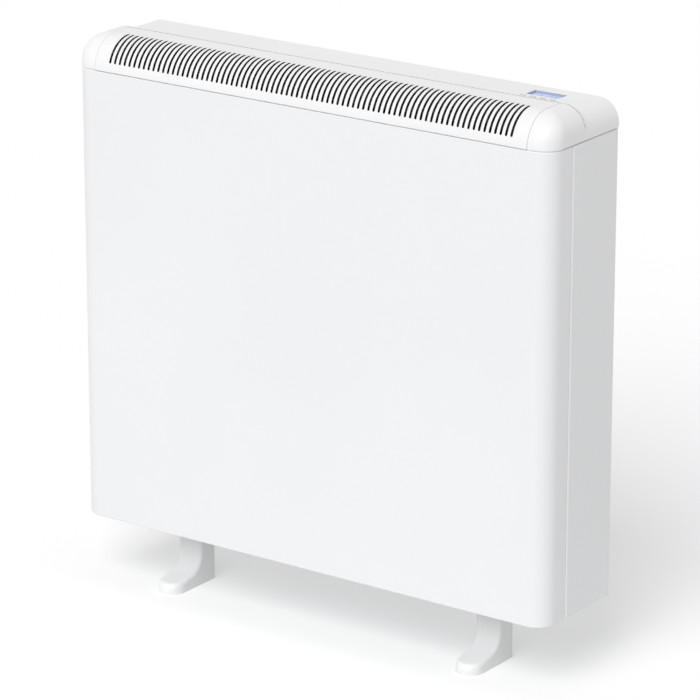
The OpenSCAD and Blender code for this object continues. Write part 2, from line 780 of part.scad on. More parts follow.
module button(k) color([0.86, 0.87, 0.89]) translate([button_x(k), button_y, 0]) {
    translate([0, 0, button_z - eps]) linear_extrude(deck_z + button_h * 0.6 - button_z + eps)
        pill(button_w, button_d);
    translate([0, 0, deck_z + button_h * 0.6 - eps]) linear_extrude(button_h * 0.4 + eps)
        pill(button_w - 2 * crown, button_d - 2 * crown);
    translate([0, 0, button_z - flange_t]) linear_extrude(flange_t)
        pill(button_w + 2 * flange_out, button_d + 2 * flange_out);
    translate([0, 0, button_z - flange_t - stem_h]) cylinder(r = stem_r, h = stem_h + eps, $fn = 32);
}

module mode_button() button(0);
module minus_button() button(1);
module plus_button() button(2);
module enter_button() button(3);

module keypad_mat() color([0.25, 0.25, 0.27]) {
    dome_h = button_z - flange_t - stem_h - button_travel - fit - board_z;
    translate([display_x, button_y, board_z]) {
        linear_extrude(mat_t) rounded(4 * button_pitch, 7, 1.5);
        for (k = [0:3]) translate([(k - 1.5) * button_pitch, 0, 0])
            cylinder(r1 = stem_r + 1.2, r2 = stem_r + 0.2, h = dome_h, $fn = 32);
    }
}

module control_board() color(board_green) {
    difference() {
        translate([display_x, board_y, board_z - pcb_t]) linear_extrude(pcb_t) rounded(board_w, board_d, 2);
        for (sx = [-1, 1], sy = [-1, 1])
            translate([display_x + sx * boss_x, board_y + sy * boss_y, board_z - pcb_t - 1])
                cylinder(d = board_screw_d + 2 * fit, h = pcb_t + 2, $fn = 24);
    }
    // processor, clock cell and the ribbon's header, below the board
    chip = [12, 12, 1.6];
    cell_r = 10;
    cell_h = 3.2;
    translate([display_x, board_y, board_z - pcb_t]) {
        block([-20, -6, -chip[2]], chip + [0, 0, eps]);
        translate([14, 4, -cell_h]) cylinder(r = cell_r, h = cell_h + eps, $fn = 48);
        block([-ribbon_w, ribbon_y - board_y - header_d / 2, -header_h],
            [2 * ribbon_w, header_d, header_h + eps]);
    }
}

header_d = 5;
ribbon_y = board_y - 15.5;

module ribbon_cable() color([0.55, 0.56, 0.60]) {
    t = ribbon_t / 2;
    drop = 12;
    x0 = display_x;
    x1 = plate_x + sheet_t + pillar_l + pcb_t + header_h;
    z0 = board_z - pcb_t - header_h;
    z1 = plate_z1 - header_in;
    translate([0, ribbon_y + ribbon_w / 2, 0]) rotate([90, 0, 0]) linear_extrude(ribbon_w)
        polygon([[x0 - t, z0], [x0 + t, z0], [x0 + t, z0 - drop], [x1 + t, z1 + 2 * drop],
            [x1 + t, z1], [x1 - t, z1], [x1 - t, z1 + 2 * drop - t], [x0 - t, z0 - drop - t]]);
}

// ---------------------------------------------------------------- supply entry

module cable_gland() color([0.2, 0.2, 0.22]) translate([gland_x, gland_y, 0]) difference() {
    union() {
        translate([0, 0, tray_z - gland_head_h])
            cylinder(r = gland_r + gland_rim, h = gland_head_h, $fn = 64);
        translate([0, 0, tray_z - eps])
            cylinder(r = gland_r + gland_wall, h = sheet_t + gland_thread_h, $fn = 64);
        translate([0, 0, floor_z]) cylinder(r = gland_r + gland_rim, h = gland_nut_h, $fn = 6);
    }
    translate([0, 0, tray_z - gland_head_h - 1])
        cylinder(r = gland_r, h = gland_head_h + sheet_t + gland_thread_h + 2, $fn = 64);
}

// Saddle that holds a supply cord in its round bore, with a screw hole on each side
module cord_clamp() color([0.85, 0.85, 0.82]) {
    jaw_z = 4 + gland_r;
    translate([gland_x - clamp_w / 2, gland_y - clamp_back, floor_z]) difference() {
        block([0, 0, 0], [clamp_w, clamp_d, 2 * jaw_z]);
        rod_y(clamp_w / 2, -1, clamp_d + 1, jaw_z, gland_r);
        for (x = [4, clamp_w - 4])
            translate([x, clamp_d / 2, jaw_z]) cylinder(r = 1.3, h = jaw_z + 1, $fn = 24);
    }
}

// ---------------------------------------------------------------- heat store

rail_x = [case_x0 + rail_end, (case_x0 + case_x1) / 2, case_x1 - rail_end];
boost_y = [front_y + 32, front_y + 60];
boost_z = floor_z + rail_h / 2;
boost_r = 3.3;

module chassis_rails() color(galvanised) for (x = rail_x) difference() {
    union() {
        block([x, core_y0, floor_z], [rail_t, core_y1 - core_y0, rail_h]);
        block([x, core_y0, floor_z], [rail_w, core_y1 - core_y0, rail_t]);
        block([x, core_y0, rail_z - rail_t], [rail_w, core_y1 - core_y0, rail_t]);
    }
    for (y = boost_y) rod_x(x - 1, x + 2 * rail_t, y, boost_z, boost_r + fit);
    // clear of the feet's screws
    for (s = [-1, 1], b = [-1, 1])
        translate([s * foot_x + b * foot_bolt_x, foot_bolt_y, floor_z - 1])
            cylinder(r = foot_bolt_d + 1, h = foot_bolt_d + 1, $fn = 32);
}

module core_tray() color(galvanised) {
    block([case_x0, core_y0, rail_z], [case_x1 - case_x0, core_y1 - core_y0, sheet_t]);
}

module base_insulation() color(slab_cream)
    block([case_x0 + sheet_t, core_y0 + sheet_t, slab_z0],
        [case_x1 - case_x0 - 2 * sheet_t, core_y1 - core_y0 - 2 * sheet_t, slab_t]);

// One leaf of bricks from the plane y0, grooved for the elements and the probe
module brick_leaf(y0) color(brick_brown)
    for (row = [0:brick_rows - 1], col = [0:brick_cols - 1]) difference() {
        block([store_x0 + col * brick_w, y0, brick_z0 + row * brick_h],
            [brick_w - brick_gap, brick_t, brick_h - brick_gap]);
        hairpin(bend_x, store_x1 + 1, mid_y, leg_z(row, -1), leg_z(row, 1), groove_r);
        if (row == 1) rod_x(store_x1 - probe_l, store_x1 + 1, mid_y, leg_mid(1), probe_r + fit);
    }

leg_mid = function(row) brick_z0 + (row + 0.5) * brick_h;

module front_bricks() brick_leaf(brick_y0);
module rear_bricks() brick_leaf(mid_y);

module storage_element(row) color(sheath_grey) {
    hairpin(bend_x, pin_x, mid_y, leg_z(row, -1), leg_z(row, 1), element_r);
    for (s = [-1, 1]) rod_x(pin_x - eps, pin_x + pin_l, mid_y, leg_z(row, s), pin_r);
}

module upper_element() storage_element(2);
module middle_element() storage_element(1);
module lower_element() storage_element(0);

module element_bushes() color([0.93, 0.91, 0.86])
    for (row = [0:brick_rows - 1], s = [-1, 1]) difference() {
        union() {
            rod_x(case_x1 - sheet_t - 4, case_x1 + bush_out, mid_y, leg_z(row, s), bush_r);
            rod_x(case_x1, case_x1 + 2, mid_y, leg_z(row, s), bush_r + bush_rim);
        }
        rod_x(case_x1 - 20, case_x1 + 20, mid_y, leg_z(row, s), element_r + 0.15);
    }

module element_holes(r) {
    for (row = [0:brick_rows - 1], s = [-1, 1])
        rod_x(store_x1 - 1, case_x1 + 1, mid_y, leg_z(row, s), r);
    rod_x(store_x1 - 1, case_x1 + 1, mid_y, leg_mid(1), probe_r + fit);
}

module end_slab(x) {
    block([x, core_y0 + sheet_t, brick_z0], [slab_t, core_y1 - core_y0 - 2 * sheet_t, brick_z1 - brick_z0]);
}

module right_insulation() color(slab_cream) difference() {
    end_slab(store_x1);
    element_holes(bush_r + fit);
}

module left_insulation() color(slab_cream) end_slab(store_x0 - slab_t);

module front_insulation() color(slab_cream)
    block([store_x0, core_y0 + sheet_t, brick_z0], [store_w, front_slab_t, brick_z1 - brick_z0]);

module rear_insulation() color(slab_cream)
    block([store_x0, brick_y1, brick_z0], [store_w, slab_t, brick_z1 - brick_z0]);

module top_insulation() color(slab_cream)
    block([case_x0 + sheet_t, core_y0 + sheet_t, brick_z1],
        [case_x1 - case_x0 - 2 * sheet_t, core_y1 - core_y0 - 2 * sheet_t, slab_t]);

core_screw_x = [case_x0 + core_screw_in, case_x1 - core_screw_in];
core_screw_z = [slab_z0 + core_screw_end, (slab_z0 + core_z1) / 2, core_z1 - core_screw_end];

module core_wall(x) {
    block([x, core_y0 + sheet_t, slab_z0], [sheet_t, core_y1 - core_y0 - 2 * sheet_t, core_z1 - slab_z0]);
}

module core_left_wall() color(galvanised) core_wall(case_x0);

module core_right_wall() color(galvanised) difference() {
    core_wall(case_x1 - sheet_t);
    element_holes(bush_r + 0.1);
}

module core_rear_wall() color(galvanised)
    block([case_x0, core_y1 - sheet_t, slab_z0], [case_x1 - case_x0, sheet_t, core_z1 - slab_z0]);

// Inner front cover, with the stiffening beads that also keep the duct open
module core_front_cover() color(galvanised) difference() {
    union() {
        block([case_x0, core_y0, slab_z0], [case_x1 - case_x0, sheet_t, core_z1 - slab_z0]);
        for (k = [1:bead_n]) bead(slab_z0 + k * (core_z1 - slab_z0) / (bead_n + 1));
    }
    for (x = core_screw_x, z = core_screw_z)
        rod_y(x, core_y0 - 5, core_y0 + 5, z, core_screw_d / 2 + pilot_gap);
}

// Round-backed bead across the cover's front
module bead(z) intersection() {
    rod_x(case_x0 + rail_end, case_x1 - rail_end, core_y0 + bead_r - bead_h, z, bead_r);
    block([case_x0, core_y0 - bead_h, z - bead_r], [case_x1 - case_x0, bead_h + eps, 2 * bead_r]);
}

module core_top_cover() color(galvanised)
    block([case_x0, core_y0, core_z1], [case_x1 - case_x0, core_y1 - core_y0, sheet_t]);

module core_cover_screws() color("silver") for (x = core_screw_x, z = core_screw_z)
    translate([x, core_y0, z]) rotate([90, 0, 0]) pan_screw(core_screw_d, sheet_t);

module boost_element() color(sheath_grey) {
    x0 = case_x0 + 12;
    x1 = case_x1 + 14;
    r = (boost_y[1] - boost_y[0]) / 2;
    for (y = boost_y) rod_x(x0 + r, x1, y, boost_z, boost_r);
    translate([x0 + r, (boost_y[0] + boost_y[1]) / 2, boost_z]) rotate([0, 0, 90])
        rotate_extrude(angle = 180, $fn = 64) translate([r, 0]) circle(r = boost_r, $fn = 32);
    for (y = boost_y) rod_x(x1 - eps, x1 + pin_l, y, boost_z, pin_r);
}

module core_probe() color("silver") {
    rod_x(store_x1 - probe_l + 1, case_x1 + 8, mid_y, leg_mid(1), probe_r);
    rod_x(case_x1 + 8 - eps, case_x1 + 16, mid_y, leg_mid(1), probe_r + 1);
}

module core_cutout() color([0.15, 0.13, 0.12]) {
    z = leg_mid(2);
    rod_x(case_x1, case_x1 + 8, mid_y, z, 8);
    block([case_x1, mid_y - 13, z - 4], [1.2, 26, 8]);
    for (y = [mid_y - 4, mid_y + 3]) block([case_x1 + 8 - eps, y, z - 2.5], [7, 0.8, 5]);
}

module room_cutout() color([0.15, 0.13, 0.12]) {
    z = core_z1 + sheet_t;
    x = case_x1 - 60;
    block([x, mid_y - 8, z], [38, 16, 9]);
    for (d = [-6, 38]) block([x + d, mid_y - 5, z], [6, 10, 1.2]);
}

module room_sensor() color([0.9, 0.9, 0.88]) translate([plate_x + 30, front_y + 24, floor_z]) {
    block([-5, -4, 0], [10, 8, 3]);
    cylinder(r = 2.5, h = 16, $fn = 32);
    translate([0, 0, 16]) sphere(r = 2.5, $fn = 32);
}

// ---------------------------------------------------------------- wiring bay

plate_z1 = floor_z + plate_h;
board_set = 10;                          // from the plate's edges to the power board
board_y0 = plate_y0 + board_set;
board_wy = plate_d - 2 * board_set;
board_z0 = floor_z + 96;
board_hz = 140;
header_in = 20;                          // from the plate's upper edge to the ribbon's header
pillar_in = 6;
pillar_at = [for (y = [board_y0 + pillar_in, board_y0 + board_wy - pillar_in],
        z = [board_z0 + pillar_in, board_z0 + board_hz - pillar_in]) [y, z]];

module electronics_plate() color(galvanised) {
    block([plate_x, plate_y0, floor_z], [sheet_t, plate_d, plate_h]);
    block([plate_x - plate_foot, plate_y0, floor_z], [plate_foot + eps, plate_d, sheet_t]);
    block([plate_x - plate_foot, plate_y0, floor_z + eps], [plate_foot + eps, sheet_t, plate_h - eps]);
}

module board_pillars() color("ivory") for (p = pillar_at)
    rod_x(plate_x + sheet_t, plate_x + sheet_t + pillar_l, p[0], p[1], pillar_r);

module power_board() color(board_green) {
    x0 = plate_x + sheet_t + pillar_l;
    block([x0, board_y0, board_z0], [pcb_t, board_wy, board_hz]);
    // relays, transformer, smoothing capacitor and headers
    for (k = [0:2]) block([x0 + pcb_t - eps, board_y0 + 8 + k * 21, board_z0 + 12], [14, 15, 28]);
    block([x0 + pcb_t - eps, board_y0 + 10, board_z0 + 56], [17, 32, 30]);
    rod_x(x0 + pcb_t - eps, x0 + pcb_t + 16, board_y0 + 60, board_z0 + 68, 7);
    block([x0 + pcb_t - eps, board_y0 + 12, board_z0 + 100], [10, 50, 9]);
    block([x0 + pcb_t - eps, ribbon_y - ribbon_w / 2 - 1, plate_z1 - header_in - header_h],
        [header_h + ribbon_t + 2, ribbon_w + 2, header_h]);
}

module terminal_block() color([0.92, 0.92, 0.9]) {
    n = 4;
    pitch = 13;
    x0 = plate_x + sheet_t;
    y0 = plate_y0 + 22;
    z0 = floor_z + 30;
    difference() {
        block([x0, y0, z0], [18, n * pitch, 22]);
        for (k = [0:n - 1]) {
            rod_x(x0 + 6, x0 + 20, y0 + (k + 0.5) * pitch, z0 + 6, 3);
            rod_x(x0 + 6, x0 + 20, y0 + (k + 0.5) * pitch, z0 + 16, 3);
        }
        for (k = [1:n - 1]) block([x0 + 12, y0 + k * pitch - 0.6, z0 - 1], [8, 1.2, 24]);
    }
}

lead_x = function(k) pin_x + pin_l + (k + 0.8) * lead_pitch;

module connector_strip() color([0.92, 0.92, 0.9]) difference() {
    block([plate_x - strip_l, mid_y - strip_h / 2, strip_z - strip_h], [strip_l, strip_h, strip_h]);
    for (k = [0:lead_n - 1]) translate([lead_x(k), mid_y, strip_z - lead_in - 1])
        cylinder(r = lead_r + fit, h = lead_in + 2, $fn = 16);
}

module element_leads() color([0.85, 0.84, 0.8]) for (row = [0:brick_rows - 1], s = [-1, 1]) {
    k = 2 * row + (s + 1) / 2;
    z = leg_z(row, s);
    wire([[pin_x + pin_l, mid_y, z], [lead_x(k), mid_y, z], [lead_x(k), mid_y, strip_z - lead_in]], lead_r);
}

module earth_stud() color("gold") translate([earth_x, earth_y, floor_z]) {
    nut_r = 2 * stud_r;
    head_h = 3;
    translate([0, 0, -sheet_t - head_h]) {
        cylinder(r = stud_r, h = 22, $fn = 32);
        cylinder(r = nut_r, h = head_h, $fn = 6);
    }
    cylinder(r = nut_r, h = 4, $fn = 6);
}

// ---------------------------------------------------------------- nodes

front_panel();
left_side_panel();
right_side_panel();
rear_panel();
base_tray();
top_cover();
outlet_grille();
left_foot();
right_foot();
foot_screws();
front_panel_screws();
rear_panel_screws();
cover_screws();
display_lens();
display_module();
mode_button();
minus_button();
plus_button();
enter_button();
keypad_mat();
control_board();
board_screws();
ribbon_cable();
cable_gland();
cord_clamp();
chassis_rails();
core_tray();
base_insulation();
front_bricks();
rear_bricks();
upper_element();
middle_element();
lower_element();
element_bushes();
element_leads();
rear_insulation();
front_insulation();
left_insulation();
right_insulation();
top_insulation();
core_front_cover();
core_top_cover();
core_left_wall();
core_right_wall();
core_rear_wall();
core_cover_screws();
boost_element();
core_probe();
core_cutout();
room_cutout();
room_sensor();
electronics_plate();
power_board();
board_pillars();
terminal_block();
connector_strip();
earth_stud();
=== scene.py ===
"""Dresses a slim electric storage heater: a sheet steel casing on boot-shaped feet, a moulded top cover
with a slotted nose, a small display with four buttons, and the galvanised work behind and inside.

Everything is in metres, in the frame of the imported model: the origin is on the floor below the middle
of the casing, and the front faces -Y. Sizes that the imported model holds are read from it.
"""

import logging
import math
from dataclasses import dataclass, field
from enum import Enum
from typing import Callable, Sequence

import bpy
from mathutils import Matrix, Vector


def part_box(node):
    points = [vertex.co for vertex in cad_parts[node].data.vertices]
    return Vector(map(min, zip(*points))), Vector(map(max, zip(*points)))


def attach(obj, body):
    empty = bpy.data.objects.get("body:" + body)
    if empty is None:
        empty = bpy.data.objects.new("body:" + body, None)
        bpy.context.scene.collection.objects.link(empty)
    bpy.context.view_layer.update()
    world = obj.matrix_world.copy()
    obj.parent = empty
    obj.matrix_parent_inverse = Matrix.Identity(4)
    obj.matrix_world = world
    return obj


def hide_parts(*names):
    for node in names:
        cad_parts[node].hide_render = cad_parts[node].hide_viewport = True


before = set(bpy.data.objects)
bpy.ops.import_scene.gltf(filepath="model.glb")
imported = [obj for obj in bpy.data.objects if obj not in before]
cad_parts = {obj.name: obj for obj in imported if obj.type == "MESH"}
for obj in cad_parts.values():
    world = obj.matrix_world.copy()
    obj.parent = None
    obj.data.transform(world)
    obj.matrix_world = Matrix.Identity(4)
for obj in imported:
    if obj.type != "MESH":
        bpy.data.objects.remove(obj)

log = logging.getLogger("storage_heater")

MM = 0.001
QUARTER = math.pi / 2
HALF = math.pi
NEAR = 0.02 * MM
Point = tuple[float, float, float]
Rgb = tuple[float, float, float]
Place = Sequence[float]
PointTest = Callable[[Vector], bool]
PairTest = Callable[[Vector, Vector], bool]
Socket = bpy.types.NodeSocket


# ---------------------------------------------------------------- the modelling bench


class Pick(Enum):
    """What an edit-mode operator acts on, as Blender's three select mode switches."""

    VERTS = (True, False, False)
    EDGES = (False, True, False)
    FACES = (False, False, True)


def lone(piece: bpy.types.Object | None = None) -> None:
    """Deselects every object, and then selects and activates one.

    Args:
        piece: The object to select, or None to leave nothing selected.
    """
    if bpy.context.object and bpy.context.object.mode != "OBJECT":
        bpy.ops.object.mode_set(mode="OBJECT")
    bpy.ops.object.select_all(action="DESELECT")
    if piece:
        piece.select_set(True)
        bpy.context.view_layer.objects.active = piece


def linked(name: str, data: bpy.types.ID) -> bpy.types.Object:
    """Makes an object and links it to the scene.

    Args:
        name: The object's name.
        data: The mesh, lamp or camera that it carries.

    Returns:
        The new object.
    """
    made = bpy.data.objects.new(name, data)
    bpy.context.scene.collection.objects.link(made)
    return made


def near(a: float, b: float) -> bool:
    """Returns whether two lengths are the same."""
    return abs(a - b) < NEAR


class Workpiece:
    """A mesh on the bench, shaped by Blender's edit-mode operators and modifiers.

    Attributes:
        piece: The object that carries the mesh.
    """

    def __init__(self, piece: bpy.types.Object, name: str) -> None:
        """Takes an object over.

        Args:
            piece: The object that a primitive or a copy has just made.
            name: The piece's name.
        """
        self.piece = piece
        piece.name = piece.data.name = name
        lone(piece)
        bpy.ops.object.transform_apply(location=True, rotation=True, scale=True)

    # Starts

    @classmethod
    def block(cls, name: str, low: Place, high: Place) -> "Workpiece":
        """Starts from a cube between two corners.

        Args:
            name: The piece's name.
            low: Lowest corner.
            high: Highest corner.

        Returns:
            The new workpiece.
        """
        low, high = Vector(low), Vector(high)
        lone()
        bpy.ops.mesh.primitive_cube_add(size=1, location=(low + high) / 2)
        bpy.context.object.scale = high - low
        return cls(bpy.context.object, name)

    @classmethod
    def sheet(cls, name: str, low: Place, high: Place) -> "Workpiece":
        """Starts from a flat rectangle between two corners, level or facing the front.

        Args:
            name: The piece's name.
            low: Lowest corner.
            high: Highest corner, which shares its height or its depth with the lowest one.

        Returns:
            The new workpiece.
        """
        low, high = Vector(low), Vector(high)
        size = high - low
        level = near(size.z, 0)
        lone()
        bpy.ops.mesh.primitive_plane_add(size=1, location=(low + high) / 2,
                                         rotation=(0 if level else QUARTER, 0, 0))
        bpy.context.object.scale = (size.x, size.y if level else size.z, 1)
        return cls(bpy.context.object, name)

    @classmethod
    def disc(cls, name: str, centre: Place, radius: float, sides: int) -> "Workpiece":
        """Starts from a level filled circle, turned so that no corner lies on its X = 0 line.

        Args:
            name: The piece's name.
            centre: Middle of the circle.
            radius: Its radius.
            sides: Number of corners, a multiple of four.

        Returns:
            The new workpiece.
        """
        lone()
        bpy.ops.mesh.primitive_circle_add(vertices=sides, radius=radius, fill_type="NGON",
                                          location=centre, rotation=(0, 0, HALF / sides))
        return cls(bpy.context.object, name)

    @classmethod
    def skin(cls, name: str, rows: Sequence[Sequence[Point]]) -> "Workpiece":
        """Lofts a skin through rows of points that all have the same length.

        Args:
            name: The piece's name.
            rows: Rows of points, each along the skin.

        Returns:
            The new workpiece.
        """
        width = len(rows[0])
        starts = [j * width + k for j in range(len(rows) - 1) for k in range(width - 1)]
        mesh = bpy.data.meshes.new(name)
        mesh.from_pydata([point for row in rows for point in row], [],
                         [(i, i + 1, i + width + 1, i + width) for i in starts])
        return cls(linked(name, mesh), name)

    @classmethod
    def of_node(cls, name: str, node: str) -> "Workpiece":
        """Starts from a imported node's copy, with its corners merged and its flat faces joined.

        Args:
            name: The piece's name.
            node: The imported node.

        Returns:
            The new workpiece.
        """
        piece = linked(name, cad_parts[node].data.copy())
        piece.data.materials.clear()
        copy = cls(piece, name).everything().weld().everything()
        return copy.edit(bpy.ops.mesh.dissolve_limited, angle_limit=math.radians(0.5))

    # Selection

    def _clear(self, pick: Pick) -> bpy.types.Mesh:
        """Deselects the whole mesh and sets the select mode.

        Args:
            pick: The select mode.

        Returns:
            The mesh.
        """
        mesh = self.piece.data
        for items in (mesh.vertices, mesh.edges, mesh.polygons):
            items.foreach_set("select", [False] * len(items))
        bpy.context.scene.tool_settings.mesh_select_mode = pick.value
        return mesh

    def verts(self, test: PointTest) -> "Workpiece":
        """Selects the corners that pass a test.

        Args:
            test: Test of a corner's place.

        Returns:
            This workpiece.
        """
        for vert in self._clear(Pick.VERTS).vertices:
            vert.select = bool(test(vert.co))
        return self

    def edges(self, test: PairTest) -> "Workpiece":
        """Selects the edges that pass a test.

        Args:
            test: Test of an edge's two ends.

        Returns:
            This workpiece.
        """
        mesh = self._clear(Pick.EDGES)
        for edge in mesh.edges:
            edge.select = bool(test(*(mesh.vertices[i].co for i in edge.vertices)))
        return self

    def edges_at(self, test: PointTest) -> "Workpiece":
        """Selects the edges whose ends both pass a test."""
        return self.edges(lambda a, b: test(a) and test(b))

    def faces(self, test: PairTest) -> "Workpiece":
        """Selects the faces that pass a test.

        Args:
            test: Test of a face's middle and normal.

        Returns:
            This workpiece.
        """
        for face in self._clear(Pick.FACES).polygons:
            face.select = bool(test(face.center, face.normal))
        return self

    def everything(self) -> "Workpiece":
        """Selects the whole mesh."""
        return self.faces(lambda middle, normal: True)

    # Operators

    def edit(self, operator: Callable[..., object], **values: object) -> "Workpiece":
        """Runs one edit-mode operator on the selection.

        Args:
            operator: The operator.
            **values: Its settings.

        Returns:
            This workpiece.
        """
        lone(self.piece)
        bpy.ops.object.mode_set(mode="EDIT")
        operator(**values)
        bpy.ops.object.mode_set(mode="OBJECT")
        return self

    def extrude(self, x: float = 0, y: float = 0, z: float = 0) -> "Workpiece":
        """Extrudes the selection by an offset."""
        return self.edit(bpy.ops.mesh.extrude_region_move, TRANSFORM_OT_translate={"value": (x, y, z)})

    def move(self, x: float = 0, y: float = 0, z: float = 0) -> "Workpiece":
        """Moves the selection by an offset."""
        return self.edit(bpy.ops.transform.translate, value=(x, y, z))

    def spread(self, x: float, y: float, z: float, centre: Place) -> "Workpiece":
        """Scales the selection about a centre."""
        return self.edit(bpy.ops.transform.resize, value=(x, y, z), center_override=tuple(centre))

    def spin(self, angle: float, centre: Place, axis: Place, steps: int) -> "Workpiece":
        """Sweeps the selection round an axis by a right-handed angle, and leaves the swept end selected."""
        return self.edit(bpy.ops.mesh.spin, steps=steps, angle=-angle, center=tuple(centre), axis=tuple(axis))

    def inset(self, width: float) -> "Workpiece":
        """Insets the selected faces, but not along open edges."""
        return self.edit(bpy.ops.mesh.inset, thickness=width, use_boundary=False)

    def bevel(self, radius: float, segments: int) -> "Workpiece":
        """Rounds the selected edges."""
        return self.edit(bpy.ops.mesh.bevel, offset=radius, offset_type="OFFSET", segments=segments,
                         profile=0.5, affect="EDGES", clamp_overlap=True)

    def cut(self, point: Place, normal: Place) -> "Workpiece":
        """Cuts the whole mesh through a plane."""
        return self.everything().edit(bpy.ops.mesh.bisect, plane_co=tuple(point), plane_no=tuple(normal),
                                      use_fill=False, threshold=0.000001)

    def fill(self) -> "Workpiece":
        """Makes one face within the selected edges."""
        return self.edit(bpy.ops.mesh.edge_face_add)

    def drop(self) -> "Workpiece":
        """Deletes the selected faces."""
        return self.edit(bpy.ops.mesh.delete, type="FACE")

    def weld(self) -> "Workpiece":
        """Merges doubled corners."""
        return self.edit(bpy.ops.mesh.remove_doubles, threshold=0.000005)

    def outwards(self) -> "Workpiece":
        """Merges doubled corners and turns every face outwards."""
        self.everything().weld().everything()
        return self.edit(bpy.ops.mesh.normals_make_consistent, inside=False)

    def facing(self, test: PairTest) -> "Workpiece":
        """Turns an open skin over unless most of its area passes a test.

        Args:
            test: Test of a face's middle and normal.

        Returns:
            This workpiece.
        """
        good = sum(face.area if test(face.center, face.normal) else -face.area
                   for face in self.piece.data.polygons)
        return self if good >= 0 else self.everything().edit(bpy.ops.mesh.flip_normals)

    # Modifiers and finishing

    def modify(self, kind: str, **values: object) -> "Workpiece":
        """Adds a modifier, sets its values and applies it.

        Args:
            kind: The modifier's type.
            **values: Its settings.

        Returns:
            This workpiece.
        """
        modifier = self.piece.modifiers.new(kind.lower(), kind)
        for key, value in values.items():
            setattr(modifier, key, value)
        lone(self.piece)
        bpy.ops.object.modifier_apply(modifier=modifier.name)
        return self

    def wall(self, thickness: float) -> "Workpiece":
        """Gives an open skin its wall, inwards."""
        return self.modify("SOLIDIFY", thickness=thickness, offset=-1, use_even_offset=True,
                           use_quality_normals=True)

    def soften(self, radius: float, segments: int = 2, angle: float = 40) -> "Workpiece":
        """Rounds every edge that is sharper than an angle in degrees."""
        return self.modify("BEVEL", width=radius, segments=segments, limit_method="ANGLE",
                           angle_limit=math.radians(angle), use_clamp_overlap=True,
                           miter_outer="MITER_ARC")

    def subtract(self, tool: "Workpiece") -> "Workpiece":
        """Cuts another workpiece out of this one and discards it.

        Args:
            tool: The other workpiece.

        Returns:
            This workpiece.
        """
        self.modify("BOOLEAN", operation="DIFFERENCE", solver="EXACT", object=tool.piece)
        bpy.data.objects.remove(tool.piece)
        return self

    def repeat(self, count: int, step: float) -> "Workpiece":
        """Repeats the mesh along X, merged where the copies meet."""
        return self.modify("ARRAY", count=count, use_relative_offset=False, use_constant_offset=True,
                           constant_offset_displace=(step, 0, 0), use_merge_vertices=True,
                           merge_threshold=0.00001)

    def mirrored(self, name: str) -> "Workpiece":
        """Copies the mesh, mirrored in the plane X = 0 and with its faces outwards.

        Args:
            name: The copy's name.

        Returns:
            The copy.
        """
        twin = Workpiece(linked(name, self.piece.data.copy()), name).everything()
        twin.edit(bpy.ops.transform.mirror, constraint_axis=(True, False, False), center_override=(0, 0, 0))
        return twin.everything().edit(bpy.ops.mesh.flip_normals)

    def join(self, *others: "Workpiece") -> "Workpiece":
        """Joins other workpieces into this one.

        Args:
            *others: The other workpieces.

        Returns:
            This workpiece.
        """
        lone(self.piece)
        for other in others:
            other.piece.select_set(True)
        bpy.ops.object.join()
        return self

    def smooth(self, angle: float = 35) -> "Workpiece":
        """Shades the mesh smooth across edges blunter than an angle, and keeps large flats flat.

        Args:
            angle: The angle in degrees.

        Returns:
            This workpiece.
        """
        lone(self.piece)
        bpy.ops.object.shade_smooth_by_angle(angle=math.radians(angle))
        return self.modify("WEIGHTED_NORMAL", keep_sharp=True)

    def paint(self, *finishes: "Finish") -> "Workpiece":
        """Gives the mesh its material slots.

        Args:
            *finishes: A finish for each slot.

        Returns:
            This workpiece.
        """
        self.piece.data.materials.clear()
        for finish in finishes:
            self.piece.data.materials.append(finish.material())
        return self

    def second_finish(self, test: PairTest) -> "Workpiece":
        """Gives the second material slot to the faces that pass a test.

        Args:
            test: Test of a face's middle and normal.

        Returns:
            This workpiece.
        """
        for face in self.piece.data.polygons:
            face.material_index = int(test(face.center, face.normal))
        return self

    def fit(self, body: str, slot: str, *nodes: str) -> "Workpiece":
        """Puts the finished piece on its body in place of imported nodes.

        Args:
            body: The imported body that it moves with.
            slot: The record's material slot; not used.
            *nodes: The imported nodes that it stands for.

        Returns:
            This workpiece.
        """
        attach(self.piece, body)
        if nodes:
            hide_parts(*nodes)
        lone()
        log.info("%s: %d faces on %s", self.piece.name, len(self.piece.data.polygons), body)
        return self


# ---------------------------------------------------------------- finishes


def seen_directly(tree: bpy.types.NodeTree) -> Socket:
    """Adds nodes that tell the camera's, the mirror and the glass rays from the rest.

    Args:
        tree: The material's or the world's node tree.

    Returns:
        A value of one for those rays and zero for the others.
    """
    path = tree.nodes.new("ShaderNodeLightPath")
    seen = path.outputs["Is Camera Ray"]
    for ray in ("Is Glossy Ray", "Is Transmission Ray"):
        either = tree.nodes.new("ShaderNodeMath")
        either.operation = "MAXIMUM"
        tree.links.new(seen, either.inputs[0])
        tree.links.new(path.outputs[ray], either.inputs[1])
        seen = either.outputs[0]
    return seen


